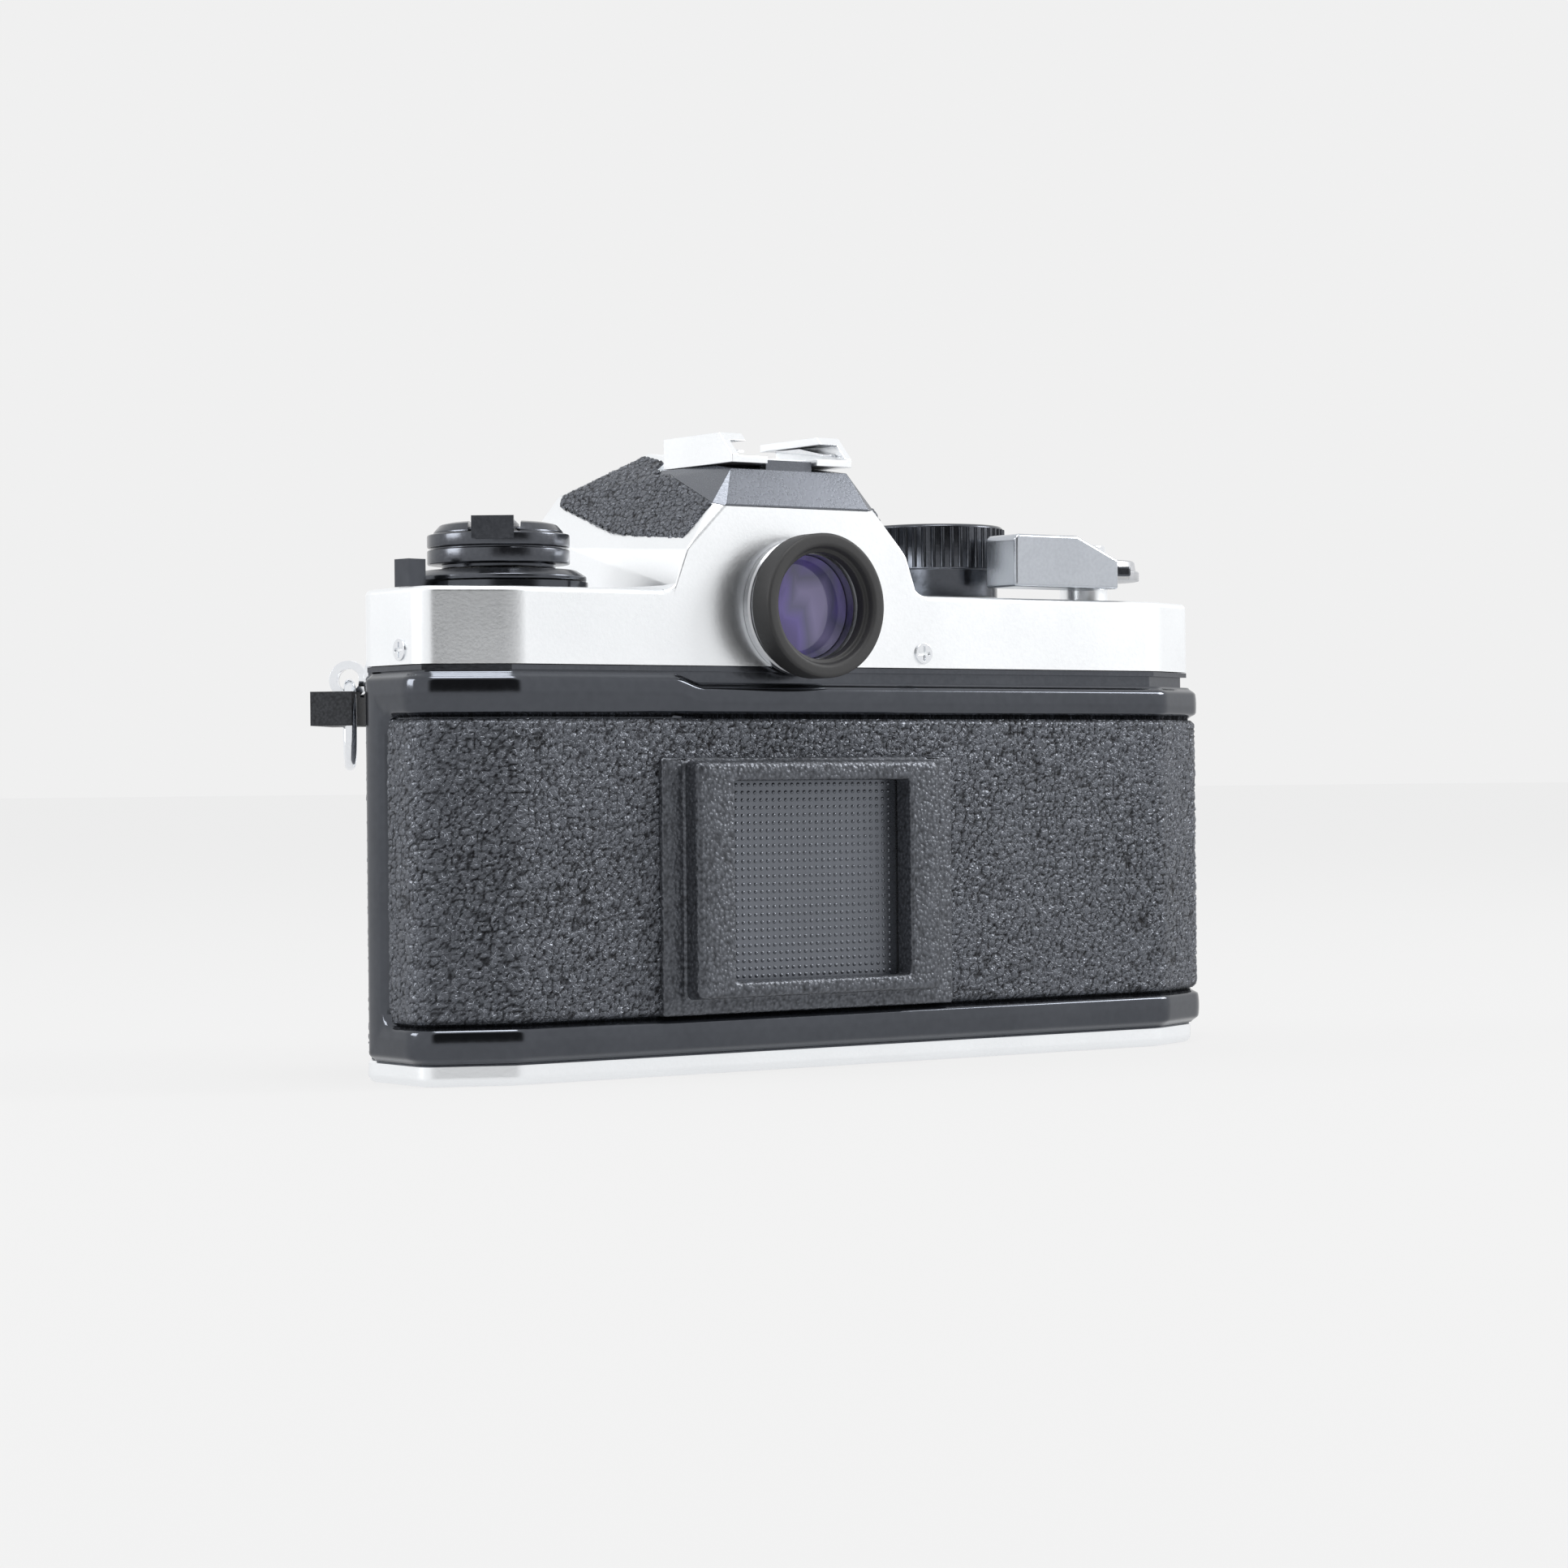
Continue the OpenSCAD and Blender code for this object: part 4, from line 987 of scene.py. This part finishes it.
def merged_copy(node, name):
    """A new object with the node's mesh, its doubles merged and its flat faces joined."""
    bm = bmesh.new()
    bm.from_mesh(bpy.data.objects[node].data)
    bmesh.ops.remove_doubles(bm, verts=bm.verts, dist=0.002 * MM)
    bmesh.ops.recalc_face_normals(bm, faces=bm.faces)
    bmesh.ops.dissolve_limit(bm, angle_limit=math.radians(1.0), verts=bm.verts, edges=bm.edges)
    return placed(name, bm)


def refined(node, width, look=None, segments=3):
    """A bevelled copy that stands for the node, on the node's own body and slot."""
    obj = soften(merged_copy(node, node + "_fine"), width, segments, 28)
    return dress(obj, BODY_OF[node], SLOT_OF[node], node, look=look)


# %% The prism cap and the shoe
def prism_cap():
    """The part of the roof behind the split, with the tongue that stops a flash foot."""
    cap = hull("prism_cap_moulding", both_sides(ROOF))
    combine(cap, slab("window", (-40, -1.9, 60), (40, 30, 100)), "INTERSECT")
    combine(cap, above_split("split", -0.05), "INTERSECT")
    combine(cap, shoe_seat("seat"))
    combine(cap, slab("tongue", (-4, 12.2, 84.4), (4, 13.8, 86.2)), "UNION")
    return soften(cap, 0.35, 3, 20)


dress(prism_cap(), ROOT, "cap_plastic", "prism_cap")
refined("accessory_shoe", 0.28)
refined("shoe_contact", 0.2)
LEAF_X = (6.9, 9.2)
LEAF = [(1.0, 88.6), (12.6, 87.2), (12.6, 87.5), (6.8, 88.72), (1.0, 88.85)]
for side, name in ((1, "left"), (-1, "right")):
    leaf = extrude("shoe_leaf_" + name, LEAF, *sorted(side * x for x in LEAF_X), axis="X")
    dress(soften(leaf, 0.08, 2), ROOT, "bright_metal")

# %% [markdown]
# ## Prism leather
# The sides of the roof carry a finer leather. The pads follow the cast roof, so the frame's own pads are
# remeshed into small even squares and each point is lifted by the grain. Remeshing also rounds the cut edges,
# as a punched pad is.


# %% Grain on the prism pads
PAD_MESH, PAD_PEBBLE = 0.18, 1.0
PAD_LIFT, PAD_RELIEF = 0.24, 0.24


def leather_pads():
    """Both pads as one even mesh, eased and then lifted by the grain on their outer faces."""
    obj = merged_copy("prism_leather", "prism_leather_grain")
    step = obj.modifiers.new("squares", "REMESH")
    step.mode = "VOXEL"
    step.voxel_size = PAD_MESH * MM
    ease = obj.modifiers.new("ease", "SMOOTH")
    ease.factor = 0.5
    ease.iterations = 5
    settle(obj)
    mesh = obj.data
    count = len(mesh.vertices)
    place, normal = np.empty(count * 3), np.empty(count * 3)
    mesh.vertices.foreach_get("co", place)
    mesh.vertices.foreach_get("normal", normal)
    place, normal = place.reshape(-1, 3), normal.reshape(-1, 3)
    mm = place / MM
    grain = leather_height(mm[:, 1] + 60 * (mm[:, 0] < 0), mm[:, 2] * 1.3, PAD_PEBBLE, seed=8)
    facing = np.clip(np.abs(normal[:, 0]) + normal[:, 2], 0, 1)
    outward = np.sign(mm[:, 0]) * normal[:, 0] > 0.3
    lift = np.where(outward, PAD_LIFT + PAD_RELIEF * grain, 0)[:, None] * MM * facing[:, None]
    mesh.vertices.foreach_set("co", (place + normal * lift).reshape(-1))
    store_grain(obj, np.where(outward, grain, 0.6))
    shade(obj, 180)
    return dress(obj, ROOT, "leatherette", "prism_leather")


leather_pads()

# %% [markdown]
# ## Eyepiece
# Steel steps, a rubber ring and coated glass, all turned about one axis. The coating's colour carries painted
# reflection: a dark violet field with paler patches, painted as a prism and a mirror seen through it would
# look.


# %% Barrel, ring and glass
def coated_glass():
    """Dark coated glass: violet bands of painted reflection, of different depth, behind a clear hard surface.
    """
    tree, place = new_finish("coated_glass")
    turned_place = add(tree, "ShaderNodeMapping", {
        "Vector": place, "Location": (0.0, 0.0, -EYE_Z * MM), "Scale": (150.0, 0.0, 110.0)})
    bands = add(tree, "ShaderNodeTexNoise", {"Vector": turned_place.outputs[0], "Scale": 0.8, "Detail": 1.0,
                                             "Roughness": 0.3, "Distortion": 0.35})
    cells = add(tree, "ShaderNodeTexVoronoi", {"Vector": turned_place.outputs[0], "Scale": 0.9},
                feature="F1", distance="CHEBYCHEV")
    both = add(tree, "ShaderNodeMix", {"Factor": 0.45, "A": bands.outputs[0], "B": cells.outputs["Distance"]})
    # Painted reflection: pale violet and grey patches stand for a prism and a mirror seen through the glass.
    colour = ramp(tree, both.outputs[0], [
        (0.26, (0.030, 0.024, 0.060)), (0.40, (0.16, 0.13, 0.33)), (0.50, (0.13, 0.13, 0.20)),
        (0.62, (0.26, 0.24, 0.36))])
    principled(tree, Base_Color=colour, Roughness=0.05, IOR=1.5, Coat_Weight=0.6, Coat_Roughness=0.03,
               Coat_Tint=(0.75, 0.70, 1.0, 1))


coated_glass()
AXIS = (0, EYE_Z)
barrel = [(7.4, 10.5), (8.2, 10.5), (8.2, 16.05), (9.7, 16.05), (9.7, 17.0), (9.45, 17.25), (9.25, 17.3),
          (9.25, 18.5), (9.0, 18.6), (9.0, 18.9), (9.25, 19.0), (9.25, 20.3), (9.0, 20.6), (8.0, 20.6),
          (8.0, 18.9), (7.4, 18.9)]
dress(turned("eyepiece_barrel_turned", barrel, AXIS, "Y", 160, 25), ROOT, "bright_metal", "eyepiece_barrel",
      look="steel")
tyre = [(7.5, 19.6), (7.95, 19.6), (7.95, 20.65), (9.27, 20.65), (9.27, 18.6), (10.2, 18.6), (10.2, 22.7),
        (8.3, 22.7), (8.1, 21.4), (7.5, 21.3)]
dress(turned("eyepiece_ring_moulded", round_profile(tyre, 0.55, 6), AXIS, "Y", 160, 40), ROOT, "rubber",
      "eyepiece_ring")
dome = [(0, 17.95), (2.4, 17.9), (4.6, 17.75), (6.2, 17.55), (7.3, 17.3), (7.35, 15.2), (0, 15.2)]
dress(turned("eyepiece_glass", dome, AXIS, "Y", 96, 40), ROOT, "glass", "eyepiece_lens", look="coated_glass")

# %% [markdown]
# ## Rewind knob, dials and lever
# The knob is two plain bands with a groove between, so it is a lathe profile cut by the crank's slot. The
# speed dial's flutes repeat, so they are Geometry Nodes: slim round ribs set round a turned core.

# %% The rewind end
KNOB_R = (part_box("rewind_knob")[1].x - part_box("rewind_knob")[0].x) / MM / 2
CRANK_TURN = math.radians(54)
bands = [(2, 70.5), (2, 71.1), (0, 71.1), (0, 73.1), (0.7, 73.15), (0.7, 73.4), (0, 73.45), (0, 75.2),
         (0.9, 75.35), (0.9, 75.6), (1.8, 76.6), (3.2, 76.9)]
knob = [(2.6, 70.5), *((KNOB_R - inward, z) for inward, z in bands), (0, 77.0), (0, 71.2), (2.6, 71.2)]
body_of_knob = turned("rewind_knob_turned", round_profile(knob, 0.22, 3), KNOB, "Z", 160, 30)


def crank_slot():
    """A box across the top of the knob, turned to lie along the folded crank."""
    slot_box = slab("slot", (-20, -3.6, -0.75), (20, 3.6, 3))
    turn = Matrix.Rotation(CRANK_TURN, 4, "Z")
    slot_box.data.transform(Matrix.Translation(Vector((*KNOB, 76.0)) * MM) @ turn)
    return slot_box


combine(body_of_knob, crank_slot())
shade(body_of_knob, 30)
dress(body_of_knob, "rewind", "black_paint", "rewind_knob")
refined("rewind_crank", 0.5, segments=5)
refined("rewind_shaft", 0.15)
refined("door_lock_lever", 0.5, segments=5)
skirt = [(3.75, 68.7), (12.2, 68.7), (12.2, 69.3), (10.8, 70.2), (3.75, 70.2)]
dress(turned("exposure_dial_turned", round_profile(skirt, 0.15, 3), KNOB, "Z", 160, 30), "exposure",
      "black_paint", "exposure_dial")


# %% The speed dial
def rib_ring_tree():
    """Round ribs standing on a circle."""
    tree, given, result = node_group("rib_ring", {
        "Ribs": ("NodeSocketInt", 48), "Radius": ("NodeSocketFloat", 0.01),
        "Rib Radius": ("NodeSocketFloat", 0.0004), "Height": ("NodeSocketFloat", 0.006),
        "Centre": ("NodeSocketVector", None), "Material": ("NodeSocketMaterial", None)})
    circle = add(tree, "GeometryNodeMeshCircle", {
        "Vertices": given.outputs["Ribs"], "Radius": given.outputs["Radius"]})
    moved = add(tree, "GeometryNodeTransform", {
        "Geometry": circle.outputs["Mesh"], "Translation": given.outputs["Centre"]})
    rib = add(tree, "GeometryNodeMeshCylinder", {
        "Vertices": 14, "Radius": given.outputs["Rib Radius"], "Depth": given.outputs["Height"]})
    return repeat(tree, moved.outputs["Geometry"], rib.outputs["Mesh"], given, result)


DIAL_RIBS, RIB_R, RIB_HEIGHT, RIB_CIRCLE_R = 48, 0.38, 6.0, 10.62
core = [(0, 68.2), (9.8, 68.2), (9.8, 72.3), (10.7, 72.3), (10.7, 78.7), (10.3, 79.0), (8.9, 79.0),
        (8.6, 78.6),
        (0, 78.6)]
dress(turned("speed_dial_core", round_profile(core, 0.15, 3), DIAL, "Z", 144, 30), "speed", "black_paint",
      "speed_dial")
ribs = grow("speed_dial_ribs", rib_ring_tree(), {
    "Ribs": DIAL_RIBS, "Radius": RIB_CIRCLE_R * MM, "Rib Radius": RIB_R * MM, "Height": RIB_HEIGHT * MM,
    "Centre": Vector((*DIAL, 75.5)) * MM, "Material": FINISH["black_paint"]})
shade(ribs, 35)
dress(ribs, "speed", "black_paint")

# %% The winding lever
hub = [(3.5, 71.2), (8.6, 71.2), (8.6, 72.6), (8.1, 72.75), (7.9, 74.1), (7.6, 74.3), (3.5, 74.3)]
dress(turned("advance_hub", round_profile(hub, 0.15, 3), WIND, "Z", 128, 30), "advance", "black_paint",
      "advance_lever", look="steel")
arm = extrude("advance_arm", [(WIND[0] + x, WIND[1] + y) for x, y in
                              ((-3, 7.4), (0, 6.2), (7.4, 0.6), (8.4, 0), (9, 9.5), (9, 14.5), (4, 15.8))],
              71.25, 72.75)
dress(soften(arm, 0.3), "advance", "black_paint")
TIP_X, TIP_Y = (-60.0, -40.0), (8.4, 15.6)
TIP_LOW, TIP_TOP, SLOPE_X = 69.2, 77, -52
tip = extrude("advance_tip", [(TIP_X[0], TIP_LOW), (TIP_X[1], TIP_LOW), (TIP_X[1], TIP_TOP - 0.6),
                              (TIP_X[1] - 0.6, TIP_TOP), (SLOPE_X, TIP_TOP), (TIP_X[0], 73.6)], *TIP_Y,
                              axis="Y")
# The tip's light grey is painted reflection on black plastic.
dress(soften(tip, 0.75, 5), "advance", "gloss_black", "lever_tip", look="lever_tip_painted_reflection")
dress(soften(merged_copy("shutter_button", "shutter_button_fine"), 0.3, 4), "release", "bright_metal",
      "shutter_button")

# %% Lugs, rings and guards
refined("strap_lugs", 0.15)
for side in ("left", "right"):
    refined("ring_guard_" + side, 0.45, look="guard_stipple", segments=4)
refined("body_screws", 0.12)
refined("mount_screws", 0.12)

# %% [markdown]
# ## The front
# The front is cast and machined: a standard that carries the lens mount, with leather on both sides of it.
# The leather follows the same outline as the door's, so the same grain is laid along the front path.

# %% Front leather
FRONT_LEATHER_X = (-31.3, 39.3)
FRONT_Z = (3.3, 55.9)
FRONT_STEP, FRONT_ROUND = 0.30, 2.4


def front_leather(name, corners, seed):
    """Leather along a stretch of the front outline, from the base to the cover."""
    path = path_points(corners, FRONT_ROUND, FRONT_STEP, closed=False)
    z = np.arange(FRONT_Z[0], FRONT_Z[1] + 0.01, FRONT_STEP)
    u, h = np.meshgrid(path[2], z, indexing="ij")
    deep = np.minimum(np.minimum(u, path[2][-1] - u), np.minimum(h - z[0], z[-1] - h))
    grain = leather_height(u, h, PEBBLE, seed)
    off = -0.6 + 0.28 * smooth(deep, -0.1, 0.5) + 0.32 * grain * smooth(deep, 0, 0.6)
    front = laid(path, off, h)
    obj = loft(name, with_back(path, front, -0.62, z), closed=False, sharp=180)
    store_grain_at(obj, front, grain)
    return obj


left_run = [(FRONT_LEATHER_X[1], FRONT), CORNERS[7], (LEFT, FRONT_FACET_Y), (LEFT, -2.9)]
dress(front_leather("front_leather_left", left_run, 5), ROOT, "leatherette", "front_leather")
right_end = Vector(CORNERS[6]).lerp(Vector(CORNERS[5]), 0.8)
right_run = [tuple(right_end), CORNERS[6], (FRONT_LEATHER_X[0], FRONT)]
dress(front_leather("front_leather_right", right_run, 6), ROOT, "leatherette")

# %% The lens standard and its controls
refined("front_standard", 0.7, segments=4)
for node, width in (("lens_mount_ring", 0.2), ("lens_release_button", 0.35), ("depth_preview_lever", 0.3),
                    ("self_timer_lever", 0.35), ("sync_socket", 0.2), ("battery_cap", 0.25),
                    ("rewind_release_button", 0.3), ("motor_coupling", 0.15), ("tripod_bush", 0.25)):
    refined(node, width)

# %% Hinge and catch of the door
HINGE = (-78.3, -3.9)
PIN_R, KNUCKLE_R = 0.85, 1.5
for number, (low, high) in enumerate(((4.5, 20), (36, 52)), 1):
    knuckle = [(PIN_R, low), (KNUCKLE_R, low), (KNUCKLE_R, high), (PIN_R, high)]
    dress(turned(f"hinge_knuckle_{number}", round_profile(knuckle, 0.15, 2), HINGE, "Z", 40), "door",
          "gloss_black")
dress(soften(slab("door_catch", (57.3, 3, 29), (59.2, 6, 37)), 0.3), "door", "gloss_black")

# %% [markdown]
# ## Everything else
# The rest of the frame's nodes keep their own shape. Each takes the finish of its slot in the record.

# %% Slot finishes on the frame's nodes
for node, slot_name in SLOT_OF.items():
    worn = bpy.data.objects[node].data.materials
    worn.clear()
    worn.append(FINISH[slot_name])
print("frame nodes with a finish:", len(SLOT_OF))
